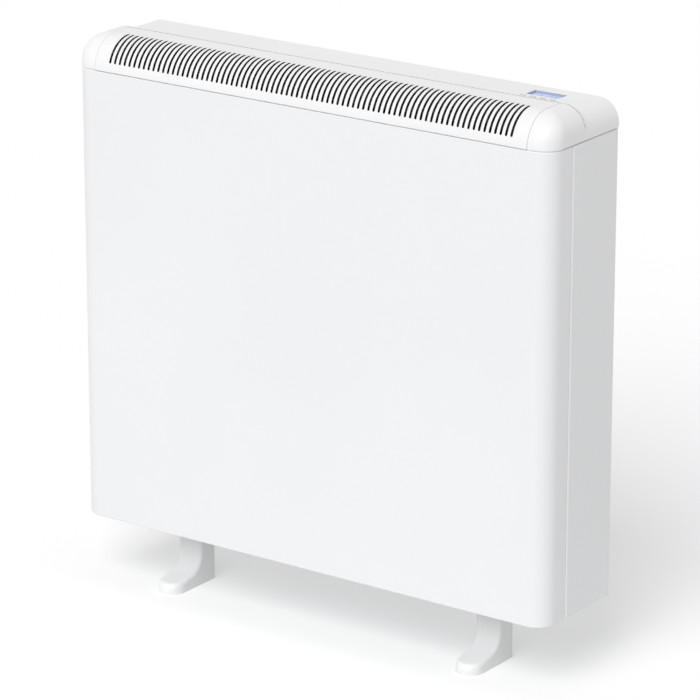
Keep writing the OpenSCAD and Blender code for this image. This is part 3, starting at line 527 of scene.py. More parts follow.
class Graph:
    """A material's nodes, added and linked by name.

    Attributes:
        material: The material.
        tree: Its node tree.
        shader: Its principled shader.
        place: The piece's own coordinates.
    """

    def __init__(self, name: str) -> None:
        """Makes an empty material with one principled shader.

        Args:
            name: The material's name.
        """
        self.material = bpy.data.materials.new(name)
        self.material.use_nodes = True
        self.tree = self.material.node_tree
        self.shader = next(n for n in self.tree.nodes if n.type == "BSDF_PRINCIPLED")
        self.place = self.add("ShaderNodeTexCoord").outputs["Object"]

    def add(self, kind: str, **values: object) -> bpy.types.Node:
        """Adds a node and sets its properties.

        Args:
            kind: The node's type.
            **values: Its properties.

        Returns:
            The node.
        """
        node = self.tree.nodes.new(kind)
        for key, value in values.items():
            setattr(node, key, value)
        return node

    def link(self, source: Socket, target: Socket) -> None:
        """Links two sockets."""
        self.tree.links.new(source, target)

    def value(self, socket: str, value: object) -> None:
        """Sets one of the shader's own sockets."""
        self.shader.inputs[socket].default_value = value

    def noise(self, scale: float, detail: float = 3, rough: float = 0.5, stretch: Point = (1, 1, 1)) -> Socket:
        """Adds noise on the piece's own coordinates.

        Args:
            scale: Cells to the metre.
            detail: Octaves.
            rough: Share of the finer octaves.
            stretch: Factors along X, Y and Z.

        Returns:
            The noise's value.
        """
        place = self.place
        if stretch != (1, 1, 1):
            mapping = self.add("ShaderNodeMapping")
            mapping.inputs["Scale"].default_value = stretch
            self.link(place, mapping.inputs["Vector"])
            place = mapping.outputs["Vector"]
        node = self.add("ShaderNodeTexNoise")
        for key, value in (("Scale", scale), ("Detail", detail), ("Roughness", rough)):
            node.inputs[key].default_value = value
        self.link(place, node.inputs["Vector"])
        return node.outputs["Fac"]

    def cells(self, scale: float, feature: str = "F1", output: str = "Distance") -> Socket:
        """Adds a cell pattern on the piece's own coordinates.

        Args:
            scale: Cells to the metre.
            feature: What the pattern measures.
            output: Which output is wanted.

        Returns:
            That output.
        """
        node = self.add("ShaderNodeTexVoronoi", feature=feature)
        node.inputs["Scale"].default_value = scale
        self.link(self.place, node.inputs["Vector"])
        return node.outputs[output]

    def bands(self, scale: float, direction: str) -> Socket:
        """Adds sine bands along an axis.

        Args:
            scale: Bands to the metre, over six.
            direction: The axis.

        Returns:
            The bands' value.
        """
        node = self.add("ShaderNodeTexWave", bands_direction=direction)
        node.inputs["Scale"].default_value = scale
        self.link(self.place, node.inputs["Vector"])
        return node.outputs["Fac"]

    def span(self, source: Socket, low: float, high: float, start: float = 0.3, end: float = 0.7) -> Socket:
        """Maps a value's usual span to another one.

        Args:
            source: The value.
            low: What the start of its span becomes.
            high: What the end of its span becomes.
            start: Start of its span.
            end: End of its span.

        Returns:
            The mapped value.
        """
        node = self.add("ShaderNodeMapRange")
        self.link(source, node.inputs["Value"])
        for key, value in (("From Min", start), ("From Max", end), ("To Min", low), ("To Max", high)):
            node.inputs[key].default_value = value
        return node.outputs["Result"]

    def blend(self, factor: Socket, first: Rgb, second: Rgb, start: float = 0.3, end: float = 0.7) -> Socket:
        """Blends two colours by a value.

        Args:
            factor: The value.
            first: Colour at the start of its span.
            second: Colour at the end of its span.
            start: Start of its span.
            end: End of its span.

        Returns:
            The colour.
        """
        node = self.add("ShaderNodeValToRGB")
        for element, place, colour in zip(node.color_ramp.elements, (start, end), (first, second)):
            element.position, element.color = place, (*colour, 1)
        self.link(factor, node.inputs["Fac"])
        return node.outputs["Color"]

    def over(self, factor: Socket, below: Socket, colour: Rgb) -> Socket:
        """Lays a colour over another one by a value.

        Args:
            factor: The value.
            below: The colour below.
            colour: The colour above.

        Returns:
            The mixed colour.
        """
        node = self.add("ShaderNodeMix", data_type="RGBA")
        self.link(factor, node.inputs["Factor"])
        self.link(below, node.inputs["A"])
        node.inputs["B"].default_value = (*colour, 1)
        return node.outputs["Result"]

    def colour(self, source: Socket) -> None:
        """Links the base colour."""
        self.link(source, self.shader.inputs["Base Color"])

    def roughness(self, source: Socket) -> None:
        """Links the roughness."""
        self.link(source, self.shader.inputs["Roughness"])

    def relief(self, *layers: tuple[Socket, float, float]) -> None:
        """Stacks bump layers.

        Args:
            *layers: Height, strength and depth in metres of each layer.
        """
        previous = None
        for height, strength, depth in layers:
            node = self.add("ShaderNodeBump")
            node.inputs["Strength"].default_value = strength
            node.inputs["Distance"].default_value = depth
            self.link(height, node.inputs["Height"])
            if previous:
                self.link(previous, node.inputs["Normal"])
            previous = node.outputs["Normal"]
        self.link(previous, self.shader.inputs["Normal"])


@dataclass(frozen=True)
class Finish:
    """A surface finish, made into a material once.

    Attributes:
        name: The material's name.
        tone: Base colour.
    """

    name: str
    tone: Rgb

    def shade(self, scale: float) -> Rgb:
        """Returns the base colour, lighter or darker."""
        return tuple(min(1.0, c * scale) for c in self.tone)

    def material(self) -> bpy.types.Material:
        """Gives the finish's material, and makes it on first use.

        Returns:
            The material.
        """
        made = bpy.data.materials.get(self.name)
        if made:
            return made
        graph = Graph(self.name)
        graph.material.diffuse_color = (*self.tone, 1)
        self.lay(graph)
        return graph.material

    def lay(self, graph: Graph) -> None:
        """Builds the finish's nodes.

        Args:
            graph: The material's nodes.
        """
        raise NotImplementedError


@dataclass(frozen=True)
class PowderCoat(Finish):
    """Satin powder coat on sheet steel, with a faint orange peel.

    Attributes:
        gloss: Roughness at its middle.
        peel: Strength of the orange peel.
    """

    gloss: float = 0.42
    peel: float = 0.05

    def lay(self, graph: Graph) -> None:
        """Builds the coat: slow drift in tone, fine peel and a thin clear sheen.

        Args:
            graph: The material's nodes.
        """
        graph.colour(graph.blend(graph.noise(3.5, 2), self.shade(0.988), self.shade(1.008)))
        graph.roughness(graph.span(graph.noise(28, 4), self.gloss - 0.05, self.gloss + 0.05))
        graph.relief((graph.noise(420, 2), self.peel, 0.3 * MM), (graph.noise(1900, 2), self.peel, 0.08 * MM))
        graph.value("Specular IOR Level", 0.45)
        graph.value("Coat Weight", 0.06)
        graph.value("Coat Roughness", 0.3)


@dataclass(frozen=True)
class Moulding(Finish):
    """Moulded plastic with a fine spark-eroded texture.

    Attributes:
        gloss: Roughness at its middle.
        grain: Strength of the texture.
    """

    gloss: float = 0.42
    grain: float = 0.10

    def lay(self, graph: Graph) -> None:
        """Builds the moulding: faint flow marks, an even fine grain and a satin skin.

        Args:
            graph: The material's nodes.
        """
        graph.colour(graph.blend(graph.noise(9, 3, 0.4, (1, 1, 0.5)), self.shade(0.985), self.shade(1.01)))
        graph.roughness(graph.span(graph.noise(60, 4), self.gloss - 0.04, self.gloss + 0.05))
        graph.relief((graph.noise(1500, 3), self.grain, 0.06 * MM))
        graph.value("Specular IOR Level", 0.42)


@dataclass(frozen=True)
class Galvanised(Finish):
    """Zinc-coated sheet with its spangle."""

    def lay(self, graph: Graph) -> None:
        """Builds the spangle: flat crystals that differ in tone and gloss, with rolling marks.

        Args:
            graph: The material's nodes.
        """
        crystal = graph.cells(110, output="Color")
        split = graph.add("ShaderNodeSeparateColor")
        graph.link(crystal, split.inputs["Color"])
        graph.colour(graph.blend(split.outputs["Red"], self.shade(0.90), self.shade(1.06), 0, 1))
        graph.roughness(graph.span(split.outputs["Green"], 0.34, 0.52, 0, 1))
        graph.relief((graph.noise(500, 2, 0.5, (0.1, 1, 1)), 0.05, 0.1 * MM),
                     (split.outputs["Blue"], 0.03, 0.1 * MM))
        graph.value("Metallic", 0.85)


@dataclass(frozen=True)
class BareMetal(Finish):
    """Plated or drawn metal.

    Attributes:
        gloss: Roughness at its middle.
        stain: Second tone, for oxide or heat tint.
    """

    gloss: float = 0.35
    stain: Rgb = (0.45, 0.45, 0.46)

    def lay(self, graph: Graph) -> None:
        """Builds the metal: drawing lines, small stains and a varying gloss.

        Args:
            graph: The material's nodes.
        """
        graph.colour(graph.blend(graph.noise(70, 4, 0.6), self.stain, self.tone, 0.28, 0.5))
        graph.roughness(graph.span(graph.noise(240, 3), self.gloss - 0.08, self.gloss + 0.12))
        graph.relief((graph.noise(1400, 2, 0.5, (0.15, 1, 1)), 0.08, 0.05 * MM))
        graph.value("Metallic", 1.0)


@dataclass(frozen=True)
class Clear(Finish):
    """Clear polished plastic over the display."""

    def lay(self, graph: Graph) -> None:
        """Builds the window: see-through, hard and glossy with a trace of haze.

        Args:
            graph: The material's nodes.
        """
        graph.colour(graph.blend(graph.noise(90, 2), self.shade(0.98), self.tone))
        graph.roughness(graph.span(graph.noise(300, 2), 0.03, 0.08))
        graph.value("Alpha", 0.12)
        graph.value("IOR", 1.49)


@dataclass(frozen=True)
class LiquidCrystal(Finish):
    """Backlit display glass: an even pale field with a faint cell grid.

    Attributes:
        light: Strength of the backlight.
    """

    light: float = 0.25

    def lay(self, graph: Graph) -> None:
        """Builds the field: soft light and dark areas, a fine grid and a weak glow.

        Args:
            graph: The material's nodes.
        """
        field_tone = graph.blend(graph.noise(55, 2), self.shade(0.93), self.shade(1.05))
        graph.colour(field_tone)
        graph.roughness(graph.span(graph.bands(900, "X"), 0.16, 0.24, 0, 1))
        graph.link(field_tone, graph.shader.inputs["Emission Color"])
        graph.value("Emission Strength", self.light)


@dataclass(frozen=True)
class Rubber(Finish):
    """Silicone rubber with a dusty matt skin."""

    def lay(self, graph: Graph) -> None:
        """Builds the rubber: faint dust, a matt skin and a fine grain.

        Args:
            graph: The material's nodes.
        """
        graph.colour(graph.blend(graph.noise(160, 4), self.shade(0.85), self.shade(1.2)))
        graph.roughness(graph.span(graph.noise(90, 3), 0.68, 0.82))
        graph.relief((graph.noise(1800, 2), 0.12, 0.05 * MM))
        graph.value("Specular IOR Level", 0.3)


@dataclass(frozen=True)
class CircuitBoard(Finish):
    """Circuit board with tracks under a green mask."""

    def lay(self, graph: Graph) -> None:
        """Builds the board: lighter tracks and pads below a glossy mask.

        Args:
            graph: The material's nodes.
        """
        tracks = graph.cells(260, "DISTANCE_TO_EDGE")
        base = graph.blend(tracks, self.shade(1.7), self.tone, 0.03, 0.06)
        pads = graph.span(graph.cells(420), 1, 0, 0.10, 0.14)
        graph.colour(graph.over(pads, base, (0.62, 0.60, 0.52)))
        graph.roughness(graph.span(graph.noise(120, 2), 0.18, 0.3))
        graph.relief((tracks, 0.15, 0.05 * MM))


@dataclass(frozen=True)
class Ribbed(Finish):
    """Flat cable or woven sleeve, with fine ribs.

    Attributes:
        pitch: Ribs to the metre, over six.
        axis: Axis that the ribs repeat along.
        weave: Whether a second set crosses the first.
    """

    pitch: float = 130
    axis: str = "Y"
    weave: bool = False

    def lay(self, graph: Graph) -> None:
        """Builds the ribs, crossed for a weave, with the colour darker between them.

        Args:
            graph: The material's nodes.
        """
        ribs = graph.bands(self.pitch, self.axis)
        graph.colour(graph.blend(ribs, self.shade(0.72), self.shade(1.05), 0.05, 0.5))
        graph.roughness(graph.span(graph.noise(200, 3), 0.5, 0.68))
        layers = [(ribs, 0.5, 0.2 * MM)]
        if self.weave:
            layers.append((graph.bands(self.pitch, "DIAGONAL"), 0.4, 0.2 * MM))
        graph.relief(*layers)


@dataclass(frozen=True)
class PressedBoard(Finish):
    """Microporous insulation board."""

    def lay(self, graph: Graph) -> None:
        """Builds the board: short fibres and pits in a chalky face.

        Args:
            graph: The material's nodes.
        """
        fibres = graph.noise(260, 6, 0.7, (1, 3, 1))
        graph.colour(graph.blend(fibres, self.shade(0.84), self.shade(1.08)))
        graph.roughness(graph.span(fibres, 0.86, 0.97))
        graph.relief((fibres, 0.35, 0.4 * MM), (graph.cells(300), 0.15, 0.3 * MM))
        graph.value("Specular IOR Level", 0.15)


@dataclass(frozen=True)
class Brick(Finish):
    """Fired storage brick, dense and coarse."""

    def lay(self, graph: Graph) -> None:
        """Builds the brick: dark grains and pale specks in a coarse pitted face.

        Args:
            graph: The material's nodes.
        """
        grain = graph.noise(180, 8, 0.75)
        base = graph.blend(grain, self.shade(0.6), self.shade(1.35))
        specks = graph.span(graph.cells(210), 1, 0, 0.12, 0.2)
        graph.colour(graph.over(specks, base, self.shade(2.2)))
        graph.roughness(graph.span(grain, 0.82, 0.95))
        graph.relief((grain, 0.5, 0.6 * MM), (graph.cells(520), 0.3, 0.3 * MM))
        graph.value("Specular IOR Level", 0.2)


@dataclass(frozen=True)
class Floor(Finish):
    """Plain pale floor that keeps the heater's shadow and shows white to the camera.

    Attributes:
        glow: White that the camera sees on top of the lit floor.
    """

    glow: float = 0.27

    def lay(self, graph: Graph) -> None:
        """Builds the floor: a matt lit surface plus a glow for camera, mirror and glass rays.

        Args:
            graph: The material's nodes.
        """
        graph.value("Base Color", (*self.tone, 1))
        graph.value("Roughness", 0.95)
        graph.value("Specular IOR Level", 0.0)
        strength = graph.span(seen_directly(graph.tree), 0, self.glow, 0, 1)
        graph.value("Emission Color", (1, 1, 1, 1))
        graph.link(strength, graph.shader.inputs["Emission Strength"])


class Finishes:
    """The finishes of this heater, by the pieces that carry them."""

    panel = PowderCoat("panel_powder_coat", (0.855, 0.860, 0.870))
    cover = Moulding("cover_moulding", (0.880, 0.880, 0.882), gloss=0.40)
    foot = Moulding("foot_moulding", (0.900, 0.900, 0.902), gloss=0.38)
    # Painted shade: near-black on the white moulding's faces inside the duct, along the slot walls and in the
    # joint behind the nose, where they lie in shade.
    inner_black = Moulding("inner_heatproof_black", (0.006, 0.006, 0.006), gloss=0.8, grain=0.2)
    # Black paint on the core covers, made near-black so that it also stands in for the shade seen through the
    # slots: partly painted shade.
    duct_black_and_shade = PowderCoat("duct_black_and_painted_shade", (0.012, 0.012, 0.012), gloss=0.75)
    galvanised = Galvanised("galvanised_sheet", (0.62, 0.64, 0.66))
    zinc = BareMetal("zinc_plated_screw", (0.66, 0.67, 0.69), gloss=0.32)
    lens = Clear("display_window", (0.90, 0.93, 0.97))
    # Painted shade: bluish-grey for the lining of the display's well, standing in for the shade on its walls.
    well = Moulding("display_surround", (0.42, 0.47, 0.60), gloss=0.3)
    display = LiquidCrystal("display_glass", (0.47, 0.56, 0.80))
    segments = LiquidCrystal("display_segments", (0.14, 0.18, 0.28), light=0.0)
    button = Moulding("button_moulding", (0.64, 0.65, 0.67), gloss=0.45)
    silicone = Rubber("silicone_mat", (0.05, 0.05, 0.055))
    board = CircuitBoard("circuit_board", (0.02, 0.14, 0.06))
    ribbon = Ribbed("ribbon_cable_grey", (0.30, 0.31, 0.34))
    gland = Moulding("gland_nylon", (0.02, 0.02, 0.022), gloss=0.5, grain=0.15)
    cream = Moulding("cream_moulding", (0.72, 0.69, 0.60), gloss=0.5)
    insulation = PressedBoard("insulation_board", (0.66, 0.60, 0.47))
    brick = Brick("storage_brick", (0.075, 0.040, 0.026))
    sheath = BareMetal("element_sheath", (0.17, 0.17, 0.18), gloss=0.45, stain=(0.10, 0.08, 0.07))
    ceramic = Moulding("glazed_ceramic", (0.80, 0.77, 0.68), gloss=0.22, grain=0.04)
    sleeve = Ribbed("woven_sleeve", (0.66, 0.63, 0.55), pitch=220, axis="X", weave=True)
    phenolic = Moulding("phenolic_moulding", (0.016, 0.012, 0.010), gloss=0.35)
    brass = BareMetal("brass_stud", (0.72, 0.53, 0.22), gloss=0.3, stain=(0.45, 0.30, 0.12))
    floor = Floor("pale_floor", (0.80, 0.80, 0.80))


# ---------------------------------------------------------------- sizes that the frame holds


@dataclass(frozen=True)
class Casing:
    """Main planes of the casing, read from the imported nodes.

    Attributes:
        half_w: Outer face of the side panels.
        front_y: Outer face of the front panel.
        wrap_y: Rear end of its wraps.
        rear_y: Rear edge of the side panels and the cover.
        panel_z: Lower edge of the panels.
        seam_z: Upper edge of the panels.
        top_z: Top of the nose.
        groove_y: Rear face of the grille.
        grille_x: End of the grille.
        corner_r: Plan radius of the front corners.
        sheet: Thickness of the casing sheet.
        flange: Width of the folded flanges.
    """

    half_w: float
    front_y: float
    wrap_y: float
    rear_y: float
    panel_z: float
    seam_z: float
    top_z: float
    groove_y: float
    grille_x: float
    corner_r: float = 27 * MM
    sheet: float = 1.2 * MM
    flange: float = 12 * MM

    @classmethod
    def read(cls) -> "Casing":
        """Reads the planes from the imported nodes.

        Returns:
            The casing's planes.
        """
        low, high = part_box("front_panel")
        side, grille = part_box("right_side_panel")[1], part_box("outlet_grille")[1]
        return cls(half_w=side.x, front_y=low.y, wrap_y=high.y, rear_y=side.y, panel_z=low.z,
                   seam_z=high.z, top_z=grille.z, groove_y=grille.y, grille_x=grille.x)


# ---------------------------------------------------------------- casing panels


@dataclass
class CasingPanels:
    """Front panel and side panels, folded from sheet.

    Attributes:
        casing: Planes of the casing.
        fold_r: Outer radius of a fold.
        lip: Height of the hem below the lower flange.
        hem: Width of that hem.
        edge_r: Outer radius round a side panel's face.
        rear_set: How far the side panel's rear flange is set in.
        rear_flange: Width of that flange.
        wrap_set: How far the front panel's wraps lie behind the side panels' faces.
        seam: Gap between a wrap and its side panel.
    """

    casing: Casing
    fold_r: float = 1.4 * MM
    lip: float = 3 * MM
    hem: float = 2.6 * MM
    edge_r: float = 2.8 * MM
    rear_set: float = 3 * MM
    rear_flange: float = 17.2 * MM
    wrap_set: float = 1.0 * MM
    seam: float = 0.3 * MM

    def build(self) -> None:
        """Builds the three panels."""
        self.front()
        side = self.side()
        for piece, node in ((side.mirrored("left_side_panel_skin"), "left_side_panel"),
                            (side, "right_side_panel")):
            piece.smooth().paint(Finishes.panel).fit("casing", "panel_white", node)

    def front(self) -> None:
        """Builds the front panel: a face with folded flanges, swept round both front corners."""
        c = self.casing
        straight, turn = c.half_w - c.corner_r, c.corner_r - self.wrap_set
        outer, turn_y, end_y = straight + turn, c.front_y + turn, c.wrap_y - self.fold_r
        skin = Workpiece.sheet("front_panel_skin", (-straight, c.front_y, c.panel_z),
                               (straight, c.front_y, c.seam_z))
        skin.edges_at(lambda p: near(p.z, c.seam_z)).extrude(y=c.flange)
        skin.edges_at(lambda p: near(p.z, c.panel_z)).extrude(y=self.hem).extrude(z=self.lip)
        skin.extrude(y=c.flange - self.hem)
        for fold_y, fold_z, radius, segments in ((c.front_y, c.seam_z, self.fold_r, 4),
                                                 (c.front_y, c.panel_z, self.hem / 2, 4),
                                                 (c.front_y + self.hem, c.panel_z, self.hem / 2 - NEAR, 3)):
            skin.edges_at(lambda p: near(p.y, fold_y) and near(p.z, fold_z)).bevel(radius, segments)
        for side in (-1, 1):
            skin.edges_at(lambda p: near(p.x, side * straight))
            skin.spin(side * QUARTER, (side * straight, turn_y, 0), (0, 0, 1), 24)
            skin.extrude(y=end_y - turn_y)
            skin.edges_at(lambda p: near(p.x, side * outer) and near(p.y, end_y))
            skin.spin(side * QUARTER, (side * (outer - self.fold_r), end_y, 0), (0, 0, 1), 4)
            skin.extrude(x=-side * (c.flange - self.fold_r))
        skin.outwards().facing(lambda middle, normal: normal.y < 0 or abs(middle.x) > straight)
        skin.wall(c.sheet).smooth().paint(Finishes.panel).fit("casing", "panel_white", "front_panel")

    def side(self) -> Workpiece:
        """Builds the right side panel as a shallow pan.

        Returns:
            The panel's workpiece.
        """
        c = self.casing
        inner_x = c.half_w - c.flange
        pan = Workpiece.block("right_side_panel_skin", (inner_x, c.wrap_y + self.seam, c.panel_z),
                              (c.half_w, c.rear_y, c.seam_z))
        pan.faces(lambda middle, normal: normal.x < -0.9).drop()
        pan.faces(lambda middle, normal: normal.z < -0.9).inset(self.hem).extrude(z=self.lip)
        pan.faces(lambda middle, normal: normal.y > 0.9).inset(self.hem).extrude(y=-self.rear_set)
        pan.edges_at(lambda p: near(p.x, inner_x) and near(p.y, c.rear_y - self.rear_set))
        pan.extrude(x=c.flange - self.rear_flange)
        pan.edges_at(lambda p: near(p.x, c.half_w)).bevel(self.edge_r, 5)
        return pan.facing(lambda middle, normal: normal.x > 0.5).wall(c.sheet)


# ---------------------------------------------------------------- top cover and grille


@dataclass(frozen=True)
class Nose:
    """Shape of the cover's nose, of its ball-shaped ends and of the lip below it.

    Attributes:
        casing: Planes of the casing.
        end_r: Radius of the rounded ends.
        joint: Gap between the grille and the nose ends.
        seam: Shadow gap above the panels.
        layers: Number of rows in a rounded end's skin.
        corner_steps: Steps round its plan corner.
        back_steps: Steps behind that corner.
        seat_in: Inset of the lip that stands on the panels.
        seat_t: Thickness of that lip.
        seat_h: Its height.
    """

    casing: Casing
    end_r: float = 29 * MM
    joint: float = 0.4 * MM
    seam: float = 1.2 * MM
    layers: int = 26
    corner_steps: int = 14
    back_steps: int = 6
    seat_in: float = 1.6 * MM
    seat_t: float = 1.2 * MM
    seat_h: float = 3.2 * MM

    @property
    def inner_x(self) -> float:
        """Inner end of the nose's right end, beyond the joint with the grille."""
        return self.casing.grille_x + self.joint

    @property
    def flat_x(self) -> float:
        """End of the nose's level top, where its rounded end starts."""
        return self.casing.half_w - self.end_r

    @property
    def radius(self) -> float:
        """Radius of the nose."""
        return self.casing.top_z - self.casing.seam_z

    @property
    def axis_y(self) -> float:
        """Depth of the nose's axis."""
        return self.casing.front_y + self.radius

    @property
    def first(self) -> float:
        """Angle round the nose where it starts above the shadow gap."""
        return math.asin(self.seam / self.radius)

    def rows(self) -> list[list[Point]]:
        """Traces the right end's outlines from the shadow gap to the top.

        Returns:
            An outline for each row of the skin.
        """
        angles = (self.first + (QUARTER - self.first) * k / self.layers for k in range(self.layers + 1))
        return [self.slice(self.radius * math.sin(angle)) for angle in angles]

    def slice(self, height: float) -> list[Point]:
        """Traces the outline of the right end at a height above the seam.

        Args:
            height: Height above the panels' upper edge.

        Returns:
            Points from the groove, round the corner and along the front to the grille.
        """
        c = self.casing
        share = math.sqrt(max(0.0, 1 - (height / self.radius) ** 2))
        front, corner = self.radius * (1 - share), c.corner_r * share
        over = max(0.0, height - (self.radius - self.end_r)) / self.end_r
        end = self.end_r * (1 - math.sqrt(max(0.0, 1 - over * over)))
        x, y, z = c.half_w - end - corner, c.front_y + front + corner, c.seam_z + height
        arc = [(x + corner * math.cos(a), y - corner * math.sin(a), z)
               for a in (QUARTER * k / self.corner_steps for k in range(self.corner_steps + 1))]
        back = [(x + corner, c.groove_y + (y - c.groove_y) * k / self.back_steps, z)
                for k in range(self.back_steps)]
        return back + arc + [(self.inner_x, c.front_y + front, z)]


@dataclass
class TopCover:
    """One-piece cover: flat deck with rounded ends, ball-shaped nose ends, display well and button holes.

    Attributes:
        casing: Planes of the casing.
        nose: Shape of the nose.
        controls: Places of the display and the buttons.
        wall: Thickness of the moulding.
        deck_r: Radius of the deck's rounded ends.
        step: Drop from the nose to the deck.
        groove: Gap between the grille and the deck.
        edge_r: Rounding of the nose ends' open edges.
        rim_gap: Gap between the grille and the raised rim behind it.
        rim_w: Width of that rim.
        rim_r: Rounding of its edges.
        rim_root: How far it reaches below the deck.
        rim_end: How far it runs down the rounded ends.
        lip: Height of the deck's front lip.
        seat_side: How much deeper the lip on the panels lies along the ends.
        seat_drop: How far its rear stretch hangs below the panels' upper edge.
        tab_end: From the casing's end to the middle of an outer screw tab.
        tab_w: Width of a tab.
        tab_t: Thickness of a tab.
        tab_up: How far a tab reaches above the panels.
        tab_down: How far it reaches below their upper edge.
        tab_in: How far its rear face lies behind the rear panel's front edge.
        bridge: From that face to the front of the tab's bridge to the cover's rear wall.
        rib_t: Thickness of a rib below the deck.
        rib_h: Its height.
    """

    casing: Casing
    nose: Nose
    controls: "Controls"
    wall: float = 2.5 * MM
    deck_r: float = 28 * MM
    step: float = 7 * MM
    groove: float = 0.6 * MM
    edge_r: float = 0.4 * MM
    rim_gap: float = 0.9 * MM
    rim_w: float = 1.8 * MM
    rim_r: float = 0.25 * MM
    rim_root: float = 1 * MM
    rim_end: float = math.radians(80)
    lip: float = 8 * MM
    seat_side: float = 5 * MM
    seat_drop: float = 4.5 * MM
    tab_end: float = 112 * MM
    tab_w: float = 30 * MM
    tab_t: float = 3 * MM
    tab_up: float = 10 * MM
    tab_down: float = 18 * MM
    tab_in: float = 2.2 * MM
    bridge: float = 0.8 * MM
    rib_t: float = 1.6 * MM
    rib_h: float = 8 * MM

    @property
    def deck_z(self) -> float:
        """Height of the deck."""
        return self.casing.top_z - self.step

    def build(self) -> None:
        """Builds the cover and fits it."""
        ends = self.nose_end().join(self.seat_end())
        other = ends.mirrored("cover_nose_end_left")
        cover = self.deck().join(ends, other, self.rim(), *self.inner_parts())
        # Faces inside the duct and in the joint behind the nose take the near-black painted shade, as the white
        # moulding there lies in shade.
        cover.smooth(38).paint(Finishes.cover, Finishes.inner_black)
        cover.second_finish(self.in_painted_shade).fit("casing", "cover_white", "top_cover")

    def in_painted_shade(self, middle: Vector, normal: Vector) -> bool:
        """Tells whether a face of the cover looks into the warm air duct or lines the joint behind the nose,
        the faces that take the near-black painted shade.

        Args:
            middle: The face's middle.
            normal: Its normal.

        Returns:
            Whether it does.
        """
        c = self.casing
        in_duct = (normal.z < -0.3 or normal.y > 0.3) and abs(middle.x) < c.grille_x and middle.y < c.groove_y
        # The joint's faces are painted near-black so that the joint reads as a dark shadow line.
        in_joint = c.groove_y - NEAR < middle.y < c.groove_y + self.rim_gap + NEAR and abs(normal.y) > 0.9
        return in_duct or in_joint

    def nose_end(self) -> Workpiece:
        """Lofts the right nose end, open towards the grille and the deck.

        Returns:
            The nose end's workpiece.
        """
        c, nose = self.casing, self.nose
        low, high = c.seam_z + nose.seam, self.deck_z - self.wall
        end = Workpiece.skin("cover_nose_end", nose.rows()).everything().weld()
        end.edges_at(lambda p: near(p.z, c.top_z) and near(p.x, nose.flat_x))
        end.extrude(x=nose.inner_x - nose.flat_x).outwards()
        end.facing(lambda middle, normal: normal.x > 0 or normal.z > 0).wall(self.wall)
        for rim in (lambda p: near(p.x, nose.inner_x), lambda p: near(p.z, low),
                    lambda p: near(p.y, c.groove_y) and p.z > high):
            end.edges_at(rim).bevel(self.edge_r, 2)
        return end

    def rim(self) -> Workpiece:
        """Sweeps the raised rim behind the nose, which closes the joint along the grille's rear edge.

        Returns:
            The rim's workpiece.
        """
        x, end_r, steps = self.nose.flat_x, self.nose.end_r, 20
        z = self.casing.top_z - end_r
        turn = [(x + end_r * math.sin(a), z + end_r * math.cos(a))
                for a in (self.rim_end * k / steps for k in range(steps + 1))]
        line = [(-u, v) for u, v in reversed(turn)] + turn
        front = self.casing.groove_y + self.rim_gap
        rim = Workpiece.skin("cover_rim", [[(u, y, v) for u, v in line] for y in (front, front + self.rim_w)])
        rim.facing(lambda middle, normal: normal.z > 0).wall(self.step + self.rim_root)
        return rim.soften(self.rim_r, angle=60)

    def seat_end(self) -> Workpiece:
        """Builds the right end of the lip that stands on the panels, inside the shadow gap.

        Returns:
            The lip's workpiece.
        """
        c, nose = self.casing, self.nose
        straight, front, turn_y = c.half_w - c.corner_r, c.front_y + nose.seat_in, c.front_y + c.corner_r
        lip = Workpiece.sheet("cover_seat", (nose.inner_x, front, c.seam_z),
                              (straight, front, c.seam_z + nose.seat_h))
        lip.edges_at(lambda p: near(p.x, straight)).spin(QUARTER, (straight, turn_y, 0), (0, 0, 1), 12)
        lip.extrude(x=-self.seat_side).extrude(y=c.rear_y - nose.seat_in - turn_y)
        return lip.facing(lambda middle, normal: normal.y < 0 or normal.x > 0.5).wall(nose.seat_t)

    def inner_parts(self) -> list[Workpiece]:
        """Builds the lip's rear stretch, the screw tabs and the ribs below the deck.

        Returns:
            Their workpieces.
        """
        c, nose = self.casing, self.nose
        half, rear = c.half_w - nose.seat_in - self.seat_side, c.rear_y - nose.seat_in
        inner_y, tab_z, under = c.rear_y - self.wall, c.seam_z + self.tab_up, self.deck_z - self.wall
        tab_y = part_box("rear_panel")[0].y + self.tab_in
        spans = [((-half, rear - nose.seat_t, c.seam_z - self.seat_drop), (half, rear, c.seam_z + nose.seat_h))]
        for k in (-1, 0, 1):
            x0, x1 = (k * (c.half_w - self.tab_end) + side * self.tab_w / 2 for side in (-1, 1))
            rib_x = c.half_w * (2 * k - 1) / 4 - self.rib_t / 2
            spans += [((x0, tab_y - self.tab_t, c.seam_z - self.tab_down), (x1, tab_y, tab_z)),
                      ((x0, tab_y - self.bridge, c.seam_z + nose.seat_h), (x1, inner_y, tab_z)),
                      ((rib_x, c.groove_y + self.groove + self.wall, under - self.rib_h),
                       (rib_x + self.rib_t, inner_y, under))]
        return [Workpiece.block(f"cover_inner_{k}", low, high) for k, (low, high) in enumerate(spans)]

